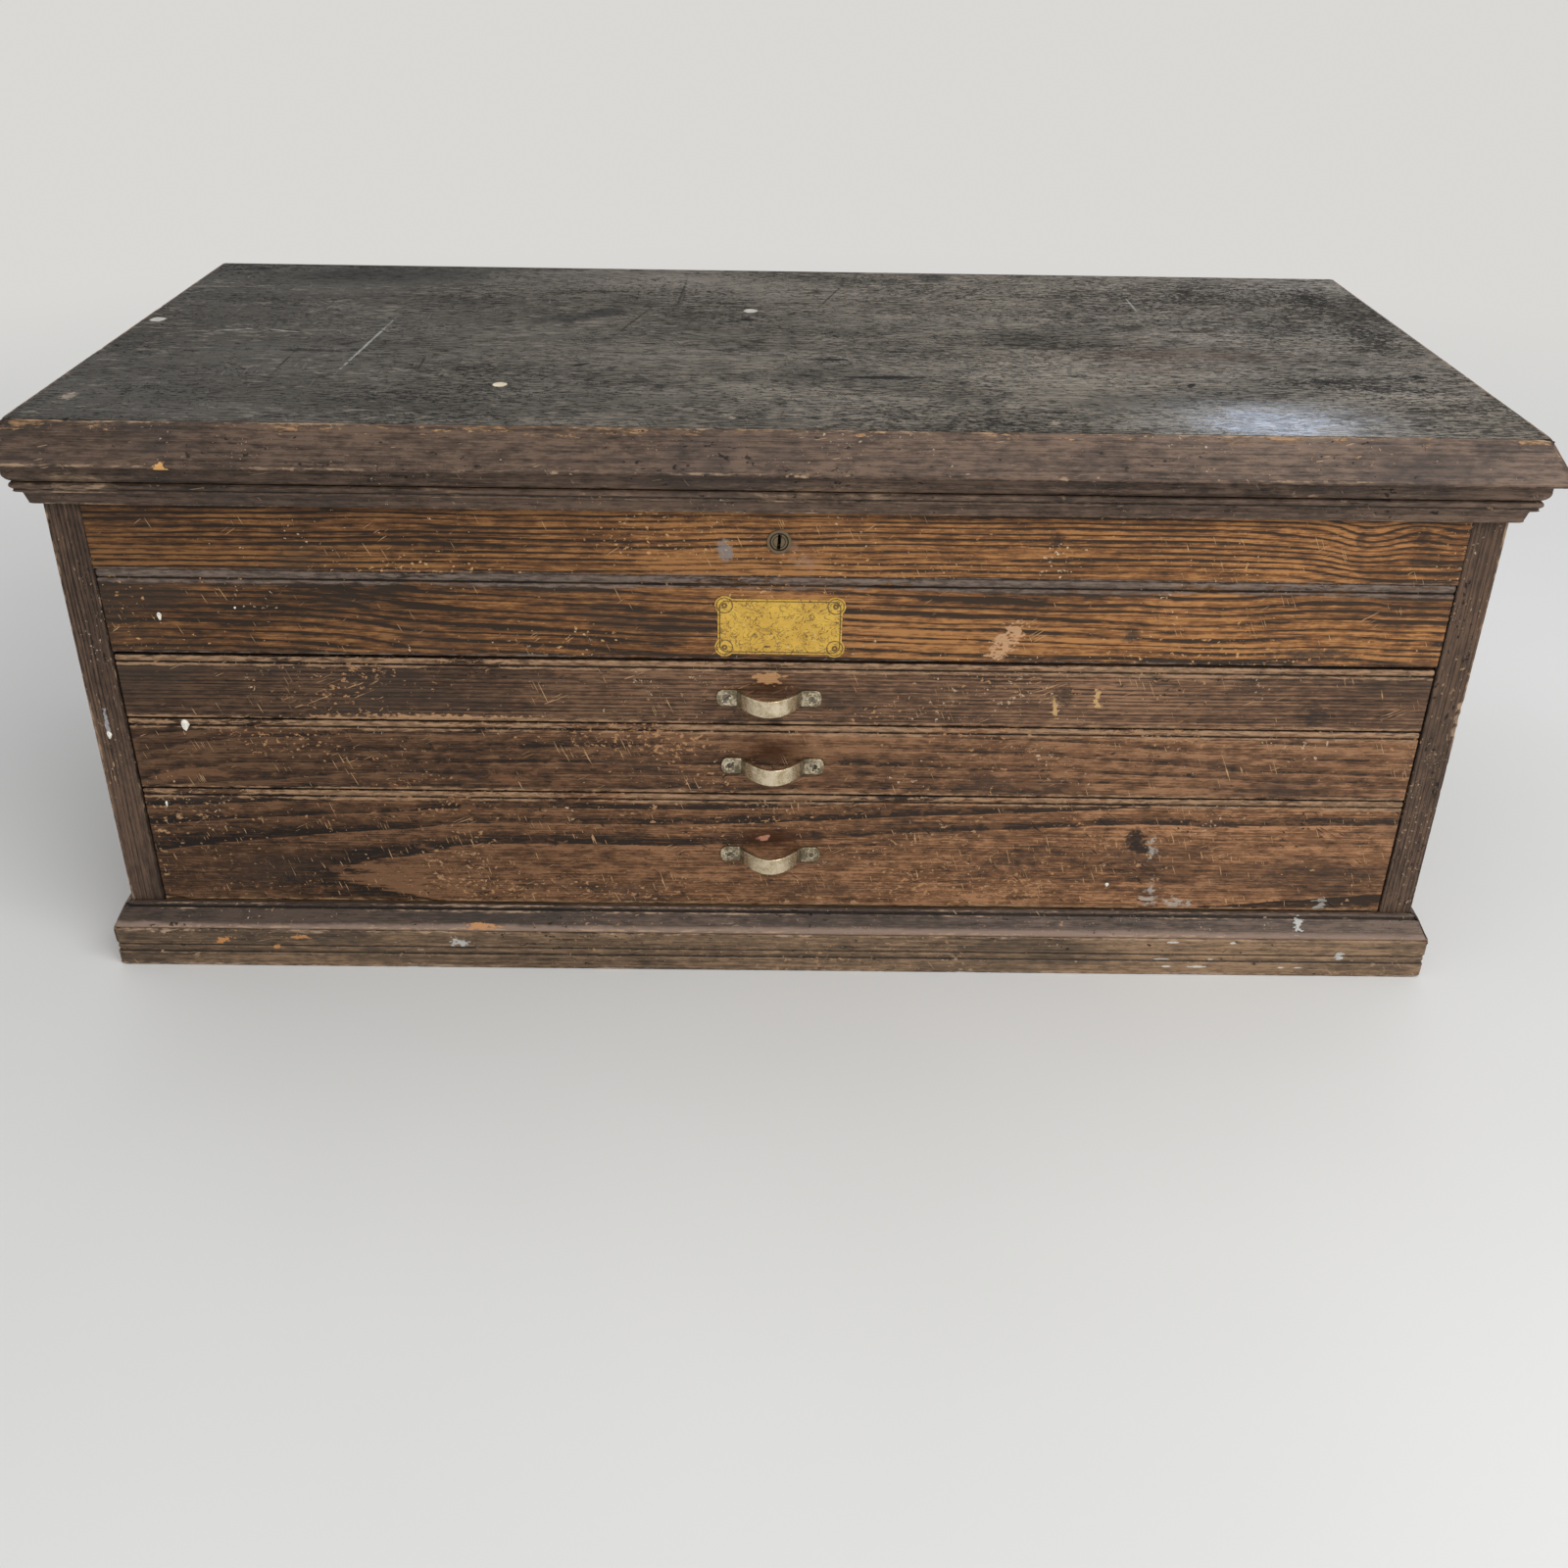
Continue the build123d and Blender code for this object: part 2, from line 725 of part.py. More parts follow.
def till_rail(side):
    """The strip that one end of the till slides on."""
    x0 = inner_half - till_rail_thickness
    x1 = inner_half
    if side < 0:
        x0, x1 = -x1, -x0
    return box(x0, x1, rail_inner_y, back_inner_y, till_rail_z, till_rail_z + till_rail_height)


def write_case():
    """Write the boards of the case."""
    side = side_board()
    write("side_right", side)
    write("side_left", mirror(side, about=Plane.YZ))
    write("back_boards", *back_boards())
    write("bottom_board", bottom_board())
    write("well_floor", well_floor())
    write("label_rail", label_rail())
    write("lock_rail", lock_rail())
    for name, sign in (("right", 1), ("left", -1)):
        runners = [runner_block(z, height, sign) for z, height, _ in DRAWERS.values()]
        write(f"drawer_runners_{name}", *runners)
    write("till_rails", till_rail(-1), till_rail(1))
    write("label_plate", label_plate())


def write_lock():
    """Write the pieces of the lock."""
    write("lock_case", lock_case())
    write("lock_barrel", lock_barrel())
    write("lock_plug", lock_plug())
    write("lock_bolt", lock_bolt())
    write("lock_link_plate", lock_link_plate())


def write_hinges():
    """Write the hinge leaves and pins, and the screws of the case."""
    top = case_height
    case_leaves = []
    lid_leaves = []
    pins = []
    for index, centre in enumerate(hinge_centres):
        lower = hinge_leaf(centre, top - hinge_leaf_thickness, top, 0)
        upper = hinge_leaf(centre, lid_z, lid_z + hinge_leaf_thickness, 1)
        case_leaves.append(with_holes(lower, case_leaf_screws()[3 * index:3 * index + 3]))
        lid_leaves.append(with_holes(upper, lid_leaf_screws()[3 * index:3 * index + 3]))
        x0 = centre - hinge_length / 2
        pins.append(rod_x(hinge_pin_radius, hinge_y, hinge_z, x0, x0 + hinge_length))
    write("hinge_case_leaves", *case_leaves)
    write("hinge_lid_leaves", *lid_leaves)
    write("hinge_pins", *pins)
    screws = [place * wood_screw() for place in case_leaf_screws() + lock_plate_screws()]
    write("case_screws", *screws)


def batten_y():
    """Front and rear ends of the battens, clear of the case."""
    return rail_inner_y + batten_end_gap, back_inner_y - batten_end_gap


def batten_screws():
    """Where screws hold the battens to the lid."""
    y0, y1 = batten_y()
    middle = (y0 + y1) / 2
    places = []
    for x in batten_centres:
        for step in (-1, 0, 1):
            y = middle + step * batten_screw_spacing
            places.append(upward(x, y, lid_z - batten_thickness, batten_screw_turn * step))
    return places


def lid_battens():
    """Two cleats that keep the lid flat."""
    y0, y1 = batten_y()
    battens = []
    for index, x in enumerate(batten_centres):
        half = batten_width / 2
        batten = box(x - half, x + half, y0, y1, lid_z - batten_thickness, lid_z)
        battens.append(with_holes(batten, batten_screws()[3 * index:3 * index + 3]))
    return battens


def lid_panel():
    """The board of the lid, with pockets for the hinges and the staple plate."""
    reach = half_width + lid_panel_overhang
    panel = box(-reach, reach, front_y - lid_panel_overhang, back_y, lid_z, lid_top_z)
    for centre in hinge_centres:
        panel -= leaf_recess(centre, lid_z, lid_z + hinge_leaf_thickness)
    panel -= link_plate_outline()
    return with_holes(panel, lid_leaf_screws() + link_plate_screws() + batten_screws())


def write_lid():
    """Write the lid and what is fixed to it."""
    write("lid_panel", lid_panel())
    write_mouldings("lid_rim", rim_profile())
    write_mouldings("lid_skirt", skirt_profile())
    write("lid_battens", *lid_battens())
    places = lid_leaf_screws() + link_plate_screws() + batten_screws()
    write("lid_screws", *[place * wood_screw() for place in places])


def dovetails(z, height):
    """The tails on the front end of a drawer side, as one (y, z) outline each."""
    side_height = height - drawer_side_drop
    count = max(2, round(side_height / dovetail_pitch))
    pitch = side_height / count
    y_root = front_y + drawer_front_thickness
    y_end = y_root - dovetail_length
    half_root = pitch * dovetail_share / 2
    half_end = half_root + dovetail_flare
    tails = []
    for index in range(count):
        middle = z + (index + 0.5) * pitch
        points = [
            (y_root, middle - half_root),
            (y_root, middle + half_root),
            (y_end, middle + half_end),
            (y_end, middle - half_end),
        ]
        tails.append(make_face(Polyline(*points, close=True)))
    return tails


def drawer_bottom(z):
    """The thin panel held in grooves of the drawer's front and sides."""
    reach = inner_half - drawer_side_gap - drawer_side_thickness + drawer_bottom_groove
    y0 = front_y + drawer_front_thickness - drawer_bottom_groove
    y1 = back_inner_y - drawer_rear_gap
    z0 = z + drawer_bottom_lift
    return box(-reach, reach, y0, y1, z0, z0 + drawer_bottom_thickness)


def drawer_back(z, height):
    """The back of a drawer, above its bottom panel and let into its sides."""
    reach = inner_half - drawer_side_gap - drawer_side_thickness + drawer_back_housing
    y1 = back_inner_y - drawer_rear_gap - drawer_back_inset
    z0 = z + drawer_bottom_lift + drawer_bottom_thickness
    z1 = z + height - drawer_side_drop - drawer_back_drop
    return box(-reach, reach, y1 - drawer_back_thickness, y1, z0, z1)


def drawer_side(z, height):
    """The right side of a drawer, dovetailed at the front and grooved for its runner."""
    x1 = inner_half - drawer_side_gap
    x0 = x1 - drawer_side_thickness
    y0 = front_y + drawer_front_thickness
    y1 = back_inner_y - drawer_rear_gap
    side = box(x0, x1, y0, y1, z, z + height - drawer_side_drop)
    for tail in dovetails(z, height):
        side += along_x(tail, x0, x1)
    side -= drawer_bottom(z)
    side -= drawer_back(z, height)
    groove_x = inner_half - runner_reach - runner_end_clearance
    half_groove = runner_height / 2 + runner_clearance
    middle = z + height / 2
    return side - box(groove_x, x1, y0, y1, middle - half_groove, middle + half_groove)


def pull_screw_places(z, height, offset):
    """Where two screws hold a pull to its drawer front."""
    x = offset[0]
    middle = z + height / 2 + offset[1]
    y = front_y - pull_strap
    half = pull_screw_spacing / 2
    left_turn, right_turn = pull_screw_turns
    return [inward(x - half, y, middle, left_turn), inward(x + half, y, middle, right_turn)]


def drawer_front(z, height, offset):
    """A beaded drawer front with sockets for the dovetails."""
    reach = inner_half - drawer_side_gap
    front = along_x(beaded_profile(drawer_front_thickness, z, height), -reach, reach)
    for tail in dovetails(z, height):
        front -= along_x(tail, reach - drawer_side_thickness, reach)
        front -= along_x(tail, -reach, drawer_side_thickness - reach)
    front -= drawer_bottom(z)
    return with_holes(front, pull_screw_places(z, height, offset))


def pull(z, height, offset):
    """A strap bent out into a half-round bow between two screwed feet."""
    foot_length = (pull_length - 2 * pull_bow_radius) / 2 + pull_strap
    foot_x = pull_length / 2 - foot_length / 2
    outline = Circle(pull_bow_radius) - Circle(pull_bow_radius - pull_strap)
    outline &= Pos(0, pull_bow_radius / 2) * Rectangle(2 * pull_bow_radius, pull_bow_radius)
    for sign in (-1, 1):
        outline += Pos(sign * foot_x, pull_strap / 2) * Rectangle(foot_length, pull_strap)
    meeting = math.sqrt(pull_bow_radius ** 2 - pull_strap ** 2)
    inside_corners = [
        corner for corner in outline.vertices()
        if abs(abs(corner.X) - meeting) < 0.01 and abs(corner.Y - pull_strap) < 0.01
    ]
    outline = fillet(inside_corners, pull_fillet)
    x = offset[0]
    middle = z + height / 2 + offset[1]
    place = Plane(origin=(x, front_y, middle - pull_height / 2), x_dir=(-1, 0, 0), z_dir=(0, 0, 1))
    strap = extrude(place * outline, pull_height, dir=(0, 0, 1))
    ends = strap.edges().filter_by(Axis.Y).group_by(Axis.X)
    strap = fillet(ends[0] + ends[-1], pull_corner)
    return with_holes(strap, pull_screw_places(z, height, offset))


def write_drawer(name, z, height, offset):
    """Write one drawer."""
    side = drawer_side(z, height)
    write(f"{name}_drawer_front", drawer_front(z, height, offset))
    write(f"{name}_drawer_sides", side, mirror(side, about=Plane.YZ))
    write(f"{name}_drawer_back", drawer_back(z, height))
    write(f"{name}_drawer_bottom", drawer_bottom(z))
    write(f"{name}_drawer_pull", pull(z, height, offset))
    screws = [place * wood_screw() for place in pull_screw_places(z, height, offset)]
    write(f"{name}_pull_screws", *screws)


def write_till():
    """Write the sliding till."""
    half = inner_half - till_side_gap
    y1 = back_inner_y - till_rear_gap
    y0 = y1 - till_depth
    top = till_z + till_height
    panel_z = till_z + till_bottom_lift
    panel = box(-half + till_end_wall - till_groove, half - till_end_wall + till_groove,
                y0 + till_wall - till_groove, y1 - till_wall + till_groove,
                panel_z, panel_z + till_bottom_thickness)
    pitch = 2 * half / (till_divider_count + 1)
    divider_z = panel_z + till_bottom_thickness
    dividers = []
    for index in range(till_divider_count):
        x = -half + (index + 1) * pitch
        divider = box(x - till_divider_thickness / 2, x + till_divider_thickness / 2,
                      y0 + till_wall - till_divider_housing, y1 - till_wall + till_divider_housing,
                      divider_z, top - till_divider_drop)
        dividers.append(divider)
    long_walls = []
    for wall_y in (y0, y1 - till_wall):
        wall = box(-half + till_end_wall, half - till_end_wall, wall_y, wall_y + till_wall, till_z, top)
        wall -= panel
        for divider in dividers:
            wall -= divider
        long_walls.append(wall)
    ends = []
    for x0 in (-half, half - till_end_wall):
        ends.append(box(x0, x0 + till_end_wall, y0, y1, till_z, top) - panel)
    write("till_long_walls", *long_walls)
    write("till_ends", *ends)
    write("till_bottom", panel)
    write("till_dividers", *dividers)


write_case()
write_mouldings("plinth", plinth_profile())
write_mouldings("base_cap", cap_profile())
write_mouldings("cornice", cornice_profile())
write_lock()
write_hinges()
write_lid()
for drawer_name, drawer_sizes in DRAWERS.items():
    write_drawer(drawer_name, *drawer_sizes)
write_till()
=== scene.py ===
import math

import bmesh
import bpy
import numpy as np
from mathutils import Matrix, Vector, noise


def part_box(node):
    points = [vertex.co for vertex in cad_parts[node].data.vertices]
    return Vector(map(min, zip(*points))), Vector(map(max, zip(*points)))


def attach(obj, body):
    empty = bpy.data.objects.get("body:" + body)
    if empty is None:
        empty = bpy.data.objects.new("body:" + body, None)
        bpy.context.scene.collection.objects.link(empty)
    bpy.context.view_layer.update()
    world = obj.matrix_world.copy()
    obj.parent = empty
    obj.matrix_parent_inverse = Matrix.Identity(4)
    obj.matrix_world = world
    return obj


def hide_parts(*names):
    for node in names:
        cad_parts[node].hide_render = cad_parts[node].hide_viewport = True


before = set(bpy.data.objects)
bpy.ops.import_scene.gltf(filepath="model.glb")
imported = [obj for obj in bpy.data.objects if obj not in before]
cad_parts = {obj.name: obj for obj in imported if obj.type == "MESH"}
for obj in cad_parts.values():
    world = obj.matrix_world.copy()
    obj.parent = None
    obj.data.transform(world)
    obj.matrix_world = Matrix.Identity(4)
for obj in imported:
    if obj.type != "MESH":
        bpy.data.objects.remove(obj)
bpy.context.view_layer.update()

MM = 0.001

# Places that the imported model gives, in metres
side_low, side_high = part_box("side_right")
case_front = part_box("lock_rail")[0].y
case_back, case_half, case_top = side_high.y, side_high.x, side_high.z
inner_half = side_low.x
lid_base, lid_top = (corner.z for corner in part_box("lid_panel"))
lid_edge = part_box("lid_panel")[1].y
plinth_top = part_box("plinth_front")[1].z
lock_centre = sum(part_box("lock_barrel"), Vector()) / 2
plug_radius = (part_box("lock_plug")[1].z - lock_centre.z) / MM

# The same in millimetres
front_mm, back_mm, half_mm = case_front / MM, case_back / MM, case_half / MM
inner_mm, lid_mm, lid_top_mm = inner_half / MM, lid_base / MM, lid_top / MM

DRAWERS = ("top", "middle", "bottom")

# Where the photograph was taken from, in metres and degrees
CAMERA_PLACE = (-0.005617, -1.15052, 0.68649)
CAMERA_PITCH, CAMERA_YAW, CAMERA_ROLL = 29.717, 0.6845, -0.9916
FOCAL_PIXELS = 1620.53
IMAGE_PIXELS = 1600
SENSOR_WIDTH = 36.0


class Field:
    """A number that varies over a surface, kept as a node socket."""

    def __init__(self, finish, socket):
        self.finish = finish
        self.socket = socket

    def calc(self, operation, *others, clamp=False):
        return self.finish.math(operation, self, *others, clamp=clamp)

    def __add__(self, other):
        return self.calc("ADD", other)

    def __sub__(self, other):
        return self.calc("SUBTRACT", other)

    def __rsub__(self, other):
        return self.finish.math("SUBTRACT", other, self)

    def __mul__(self, other):
        return self.calc("MULTIPLY", other)

    __radd__ = __add__

    def over(self, other):
        return self.calc("MAXIMUM", other)

    def size(self):
        return self.calc("ABSOLUTE")

    def smooth(self, low, high):
        """Rises from 0 at low to 1 at high."""
        node = self.finish.add("ShaderNodeMapRange", {"Value": self, "From Min": low, "From Max": high})
        node.interpolation_type = "SMOOTHSTEP"
        return Field(self.finish, node.outputs["Result"])


class Finish:
    """The nodes of one material."""

    def __init__(self, name):
        self.material = bpy.data.materials.new(name)
        self.material.use_nodes = True
        self.nodes = self.material.node_tree.nodes
        self.nodes.clear()
        self.shader = self.add("ShaderNodeBsdfPrincipled")
        self.output = self.add("ShaderNodeOutputMaterial", {"Surface": self.shader.outputs[0]})

    def add(self, kind, inputs=None):
        """A node with its inputs, by name or number."""
        node = self.nodes.new(kind)
        for key, value in (inputs or {}).items():
            self.feed(node.inputs[key], value)
        return node

    def feed(self, socket, value):
        """Link a socket, or set it to a plain value."""
        if isinstance(value, Field):
            value = value.socket
        if isinstance(value, bpy.types.NodeSocket):
            self.material.node_tree.links.new(value, socket)
        else:
            socket.default_value = value

    def math(self, operation, *values, clamp=False):
        node = self.add("ShaderNodeMath", dict(enumerate(values)))
        node.operation = operation
        node.use_clamp = clamp
        return Field(self, node.outputs[0])

    def vector(self, operation, *values):
        node = self.add("ShaderNodeVectorMath", dict(enumerate(values)))
        node.operation = operation
        return node.outputs["Value" if operation == "LENGTH" else "Vector"]

    def join(self, *parts):
        return self.add("ShaderNodeCombineXYZ", dict(enumerate(parts))).outputs[0]

    def position(self, axes="xyz"):
        """The surface point in the object's own frame, as (along, across, depth)."""
        source = self.add("ShaderNodeTexCoord").outputs["Object"]
        split = self.add("ShaderNodeSeparateXYZ", {0: source})
        parts = [Field(self, split.outputs["xyz".index(axis)]) for axis in axes]
        return self.join(*parts), parts

    def noise(self, point, scale, seed=0.0, detail=2.0, roughness=0.5, distortion=0.0):
        """Smooth noise near 0.5. scale is how many features there are to a metre, along each axis."""
        scale = scale if isinstance(scale, tuple) else (scale,) * 3
        offset = (3.1 * seed, 7.7 * seed, 5.3 * seed)
        node = self.add("ShaderNodeTexNoise", {
            "Vector": self.vector("MULTIPLY_ADD", point, scale, offset),
            "Scale": 1.0, "Detail": detail, "Roughness": roughness, "Distortion": distortion,
        })
        return Field(self, node.outputs["Fac"])

    def turned(self, point, angle):
        """The point turned about the depth axis by an angle in degrees."""
        turn = (0, 0, math.radians(angle))
        return self.add("ShaderNodeMapping", {"Vector": point, "Rotation": turn}).outputs[0]

    def mark(self, point, centre, size, angle=0.0):
        """1 at the centre of a placed mark, 0 on the ellipse of its half sizes and less outside."""
        node = self.add("ShaderNodeMapping")
        node.vector_type = "TEXTURE"
        turn = (0, 0, math.radians(angle))
        for key, value in (("Location", centre), ("Rotation", turn), ("Scale", size), ("Vector", point)):
            self.feed(node.inputs[key], value)
        return 1.0 - Field(self, self.vector("LENGTH", node.outputs[0]))

    def bend(self, value, points):
        """A smooth curve of a length, through placed points in millimetres. The result is in metres."""
        first, last = points[0][0], points[-1][0]
        low = min(p[1] for p in points)
        reach = max(p[1] for p in points) - low
        share = (value * (1 / MM) - first) * (1 / (last - first))
        node = self.add("ShaderNodeFloatCurve", {"Value": share})
        places = [((x - first) / (last - first), (y - low) / reach) for x, y in points]
        line = node.mapping.curves[0]
        line.points[0].location = places[0]
        line.points[1].location = places[-1]
        for x, y in places[1:-1]:
            line.points.new(x, y)
        node.mapping.update()
        return (Field(self, node.outputs[0]) * reach + low) * MM

    def mix(self, share, first, second):
        """The first colour where share is 0, the second where it is 1."""
        node = self.add("ShaderNodeMix")
        node.data_type = "RGBA"
        self.feed(node.inputs["Factor"], share)
        for socket, value in ((node.inputs["A"], first), (node.inputs["B"], second)):
            self.feed(socket, (*value, 1.0) if isinstance(value, tuple) else value)
        return node.outputs["Result"]

    def attribute(self, name):
        node = self.add("ShaderNodeAttribute")
        node.attribute_name = name
        return Field(self, node.outputs["Fac"])

    def finish(self, colour, roughness, height=None, depth=0.0002, strength=0.5, **fixed):
        """Connect the shader. fixed holds plain numbers for its other sockets."""
        self.feed(self.shader.inputs["Base Color"], colour)
        self.feed(self.shader.inputs["Roughness"], roughness)
        for name, value in fixed.items():
            self.shader.inputs[name.replace("_", " ")].default_value = value
        if height is not None:
            bump = self.add("ShaderNodeBump", {"Strength": strength, "Distance": depth, "Height": height})
            self.feed(self.shader.inputs["Normal"], bump.outputs[0])
        return self.material


# Colours, as linear red, green and blue
NEAR_BLACK = (0.010, 0.008, 0.007)
GREY_HAZE = (0.22, 0.20, 0.19)
FINGER_BROWN = (0.050, 0.017, 0.006)

# How far the heart of the bottom drawer's board lies behind its face, where its arched line begins
HEART_REACH = 0.080


class Wood(Finish):
    """Old stained wood with growth lines, fibres, dirt, painted shade in its hollows, flecks, scratches and
    worn edges.

    tones are its light, middle and dark parts. pitch is the width of a growth ring in millimetres."""

    def __init__(self, name, axes, seed, tones, pitch, drift=(), heart=None, saw=False, figure=0.8,
                 line=1.0, fibre=0.6, slow=1.2, mottle=1.2, left_shade_and_dirt=None, knots=(), ragged=0.6, base=0.28,
                 lean=(1.0, 0.35), rough=0.46, vary=0.55, face=case_front):
        super().__init__(f"{name}_wood")
        light, middle, dark = tones
        self.seed = seed
        self.face = face
        self.point, (self.along, self.across, self.depth) = self.position(axes)
        self.ragged = self.cloud((260, 420, 420), 0.37, 3, 0.6)
        self.slow = self.cloud((4, 16, 16), 0.11, 3, 0.6)
        self.fibres = self.cloud((9, 700, 700), 0.53, 3, 0.7)
        self.fine = self.cloud((110, 1700, 1700), 0.71, 1)
        self.mottle = self.cloud((75, 190, 190), 0.83, 5, 0.72)
        rings = self.growth(pitch * MM, drift, heart, figure, knots, lean) + (self.fibres - 0.5) * ragged
        rings = rings + (self.mottle - 0.5) * (ragged * 0.6)
        phase = rings.calc("FRACT")
        ring_point = self.join(self.along * 7.0, rings.calc("FLOOR") * 5.37)
        own = self.noise(ring_point, 1, seed, 1).smooth(0.25, 0.65)
        if saw:
            band = phase.smooth(0.75, 0.0) * phase.smooth(0.0, 0.03) - phase.smooth(0.90, 1.0) * 0.25
        else:
            band = phase.smooth(0.42, 0.80) * phase.smooth(1.0, 0.88)
        self.line = band * (own * vary + (1.0 - vary)) * line
        level = self.line * 0.9 + (self.fibres - 0.5) * (3.0 * fibre) + (self.fine - 0.5) * 1.1
        level = level + (self.slow - 0.5) * slow + (self.mottle - 0.5) * mottle + base
        self.colour = self.mix(level.smooth(0.0, 0.5), light, middle)
        self.colour = self.mix(level.smooth(0.45, 1.05), self.colour, dark)
        # Darker towards the left end: partly dirt, partly painted shade of light that falls from the right.
        if left_shade_and_dirt is not None:
            shade = self.add("ShaderNodeVectorMath")
            shade.operation = "SCALE"
            self.feed(shade.inputs[0], self.colour)
            self.feed(shade.inputs["Scale"], self.along.smooth(-0.50, 0.30) * (1 - left_shade_and_dirt) + left_shade_and_dirt)
            self.colour = shade.outputs["Vector"]
        self.height = self.line * -0.8 + self.fibres * 1.2 + self.fine * 0.6 + self.mottle * 1.2
        self.rough = (self.slow - 0.5) * 0.5 + self.line * 0.08 + rough

    def cloud(self, scale, seed, *looks):
        """Noise over the board. looks are its detail, roughness and distortion."""
        return self.noise(self.point, scale, self.seed + seed, *looks)

    def growth(self, pitch, drift, heart, figure, knots, lean):
        """The number of growth rings out to each point."""
        wave = self.cloud((2.6, 9, 9), 0)
        ripple = self.cloud((14, 60, 60), 0.2)
        spacing = self.cloud((1.5, 105, 105), 0.4, 1)
        if heart:
            middle, reach = heart
            off_across = self.across - self.bend(self.along, middle)
            off_depth = self.bend(self.along, reach) - (self.depth - case_front)
            radius = (off_depth * off_depth + off_across * off_across).calc("POWER", 0.5) - HEART_REACH
            radius = radius.over(0.0) + radius.calc("MINIMUM", 0.0) * 0.35
        else:
            radius = self.across * lean[0] + self.depth * lean[1]
        if drift:
            radius = radius - self.bend(self.along, drift)
        rings = radius * (1 / pitch) + (wave - 0.5) * (3.5 * figure) + (ripple - 0.5) * (1.2 * figure)
        rings = rings + (spacing - 0.5) * (2.6 * figure)
        for along, across, size, push in knots:
            knot = self.mark(self.point, (along * MM, across * MM, case_front), (size * MM, size * MM, 1.0))
            rings = rings + knot.smooth(-0.6, 1.0) * push
        return rings

    def lay(self, cover, colour, relief=0.0, rough=0.0):
        """Lay a colour over the share that cover gives, with its relief and roughness."""
        self.colour = self.mix(cover, self.colour, colour)
        if relief:
            self.height = self.height + cover * relief
        if rough:
            self.rough = self.rough + cover * rough

    def grime_and_shade(self, colour, low=0.52, high=0.66, share=0.6, scale=(5, 14, 14), ends=0.0):
        """Dull dirt in patches, more towards the ends of a board, and near-black dirt and painted shade in
        the hollows and gaps that the mesh marks.
        """
        patch = self.cloud(scale, 0.91, 5, 0.65)
        if ends:
            patch = patch + self.along.size().smooth(0.30, 0.44) * ends
        hollow = (self.attribute("grime_and_shade") + (self.ragged - 0.5) * 0.8).smooth(0.25, 0.75)
        self.lay(patch.smooth(low, high) * share, colour, rough=0.1)
        # Painted shade, with some dirt: near black in the quirks, gaps and undersides that the mesh's
        # attribute marks.
        self.lay(hollow * 0.85, NEAR_BLACK)

    def flecks(self, colour, level, scale=(250, 340, 340), seed=2.3, cluster=(8, 18, 18), share=0.9,
               relief=-0.8, soft=0.035):
        """Small ragged spots, crowded in some places and rare in others."""
        spots = self.cloud(scale, seed, 4, 0.62, 0.1)
        group = self.cloud(cluster, seed + 5)
        self.lay((spots + (group - 0.5) * 0.5).smooth(level, level + soft) * share, colour, relief, 0.1)

    def pale_specks(self, colour, level):
        self.flecks(colour, level, 330, 5.3, 20)

    def dark_specks(self, colour, level):
        self.flecks(colour, level, (140, 260, 260), 6.3, relief=-0.5)

    def pits(self, level, scale, seed, share):
        """Small rough dark hollows in the finish, more of them towards the right."""
        spots = self.cloud(scale, seed, 4, 0.65)
        group = self.cloud((7, 12, 12), seed + 5, 3, 0.6)
        cover = (spots + (group - 0.5) * 0.4 + self.along * 0.06).smooth(level, level + 0.05) * share
        self.lay(cover, (0.005, 0.004, 0.0035), -2.5, 0.5)

    def scratches(self, colour, level, angle, seed=3.3, scale=(55, 1100, 1100), share=0.8):
        """Short fine strokes that all lie near one direction."""
        strokes = self.noise(self.turned(self.point, angle), scale, self.seed + seed, 1, 0.5, 0.15)
        group = self.cloud((34, 46, 46), seed + 5)
        self.lay((strokes + (group - 0.5) * 0.6).smooth(level + 0.035, level + 0.06) * share, colour, -0.8)

    def marks(self, places, colour, share=1.0, soft=0.35, rag=2.0, rough=0.0, face=None, deep=12.0):
        """Placed marks: along, across, half length, half height and maybe an angle, in millimetres."""
        cover = None
        for along, across, half_length, half_height, *angle in places:
            centre = (along * MM, across * MM, face or self.face)
            size = (half_length * MM, half_height * MM, deep * MM)
            one = self.mark(self.point, centre, size, *angle)
            cover = cover.over(one) if cover else one
        cover = (cover + (self.ragged - 0.5) * rag).smooth(0.0, soft) * share
        self.lay(cover, colour, rough=rough)

    def edges(self, colour, low, high, share=0.9, weight=1.0):
        """Bare wood along the arrises and in the chips that the mesh marks."""
        streak = self.cloud((110, 460, 460), 1.7, 3, 0.7)
        broad = self.cloud((13, 24, 24), 1.3, 4, 0.65)
        worn = self.attribute("edge") * ((streak - 0.5) * 2.2 + (broad - 0.5) * 3.2 + 0.45 * weight)
        bare = (self.attribute("bare") + (self.ragged - 0.5) * 1.5).smooth(0.35, 0.60)
        pale = self.mix(streak.smooth(0.40, 0.60), tuple(0.5 * part for part in colour), colour)
        self.lay(worn.smooth(low, high).over(bare) * share, pale, rough=0.1)

    def polish(self, along, across, half_length, half_height):
        """A patch rubbed smooth, so that it mirrors a window."""
        size = (half_length * MM, half_height * MM, 0.1)
        patch = self.mark(self.point, (along * MM, across * MM, self.face), size)
        patch = (patch + (self.mottle - 0.5) * 0.8 + (self.slow - 0.5) * 0.8).smooth(0.0, 0.8)
        self.rough = self.rough * (1.0 - patch * 0.92) + patch * 0.11
        self.height = self.height * (1.0 - patch * 0.94)

    def tint_and_sheen(self, colour, low, high, axis, share):
        """A soft change of colour along an axis from low to high, in metres. On the caps it is partly worn
        colour and partly a painted highlight.
        """
        cover = axis.smooth(low, high) + (self.mottle - 0.5) * 1.2 + (self.slow - 0.5)
        self.lay(cover.smooth(0.25, 1.0) * share, colour)

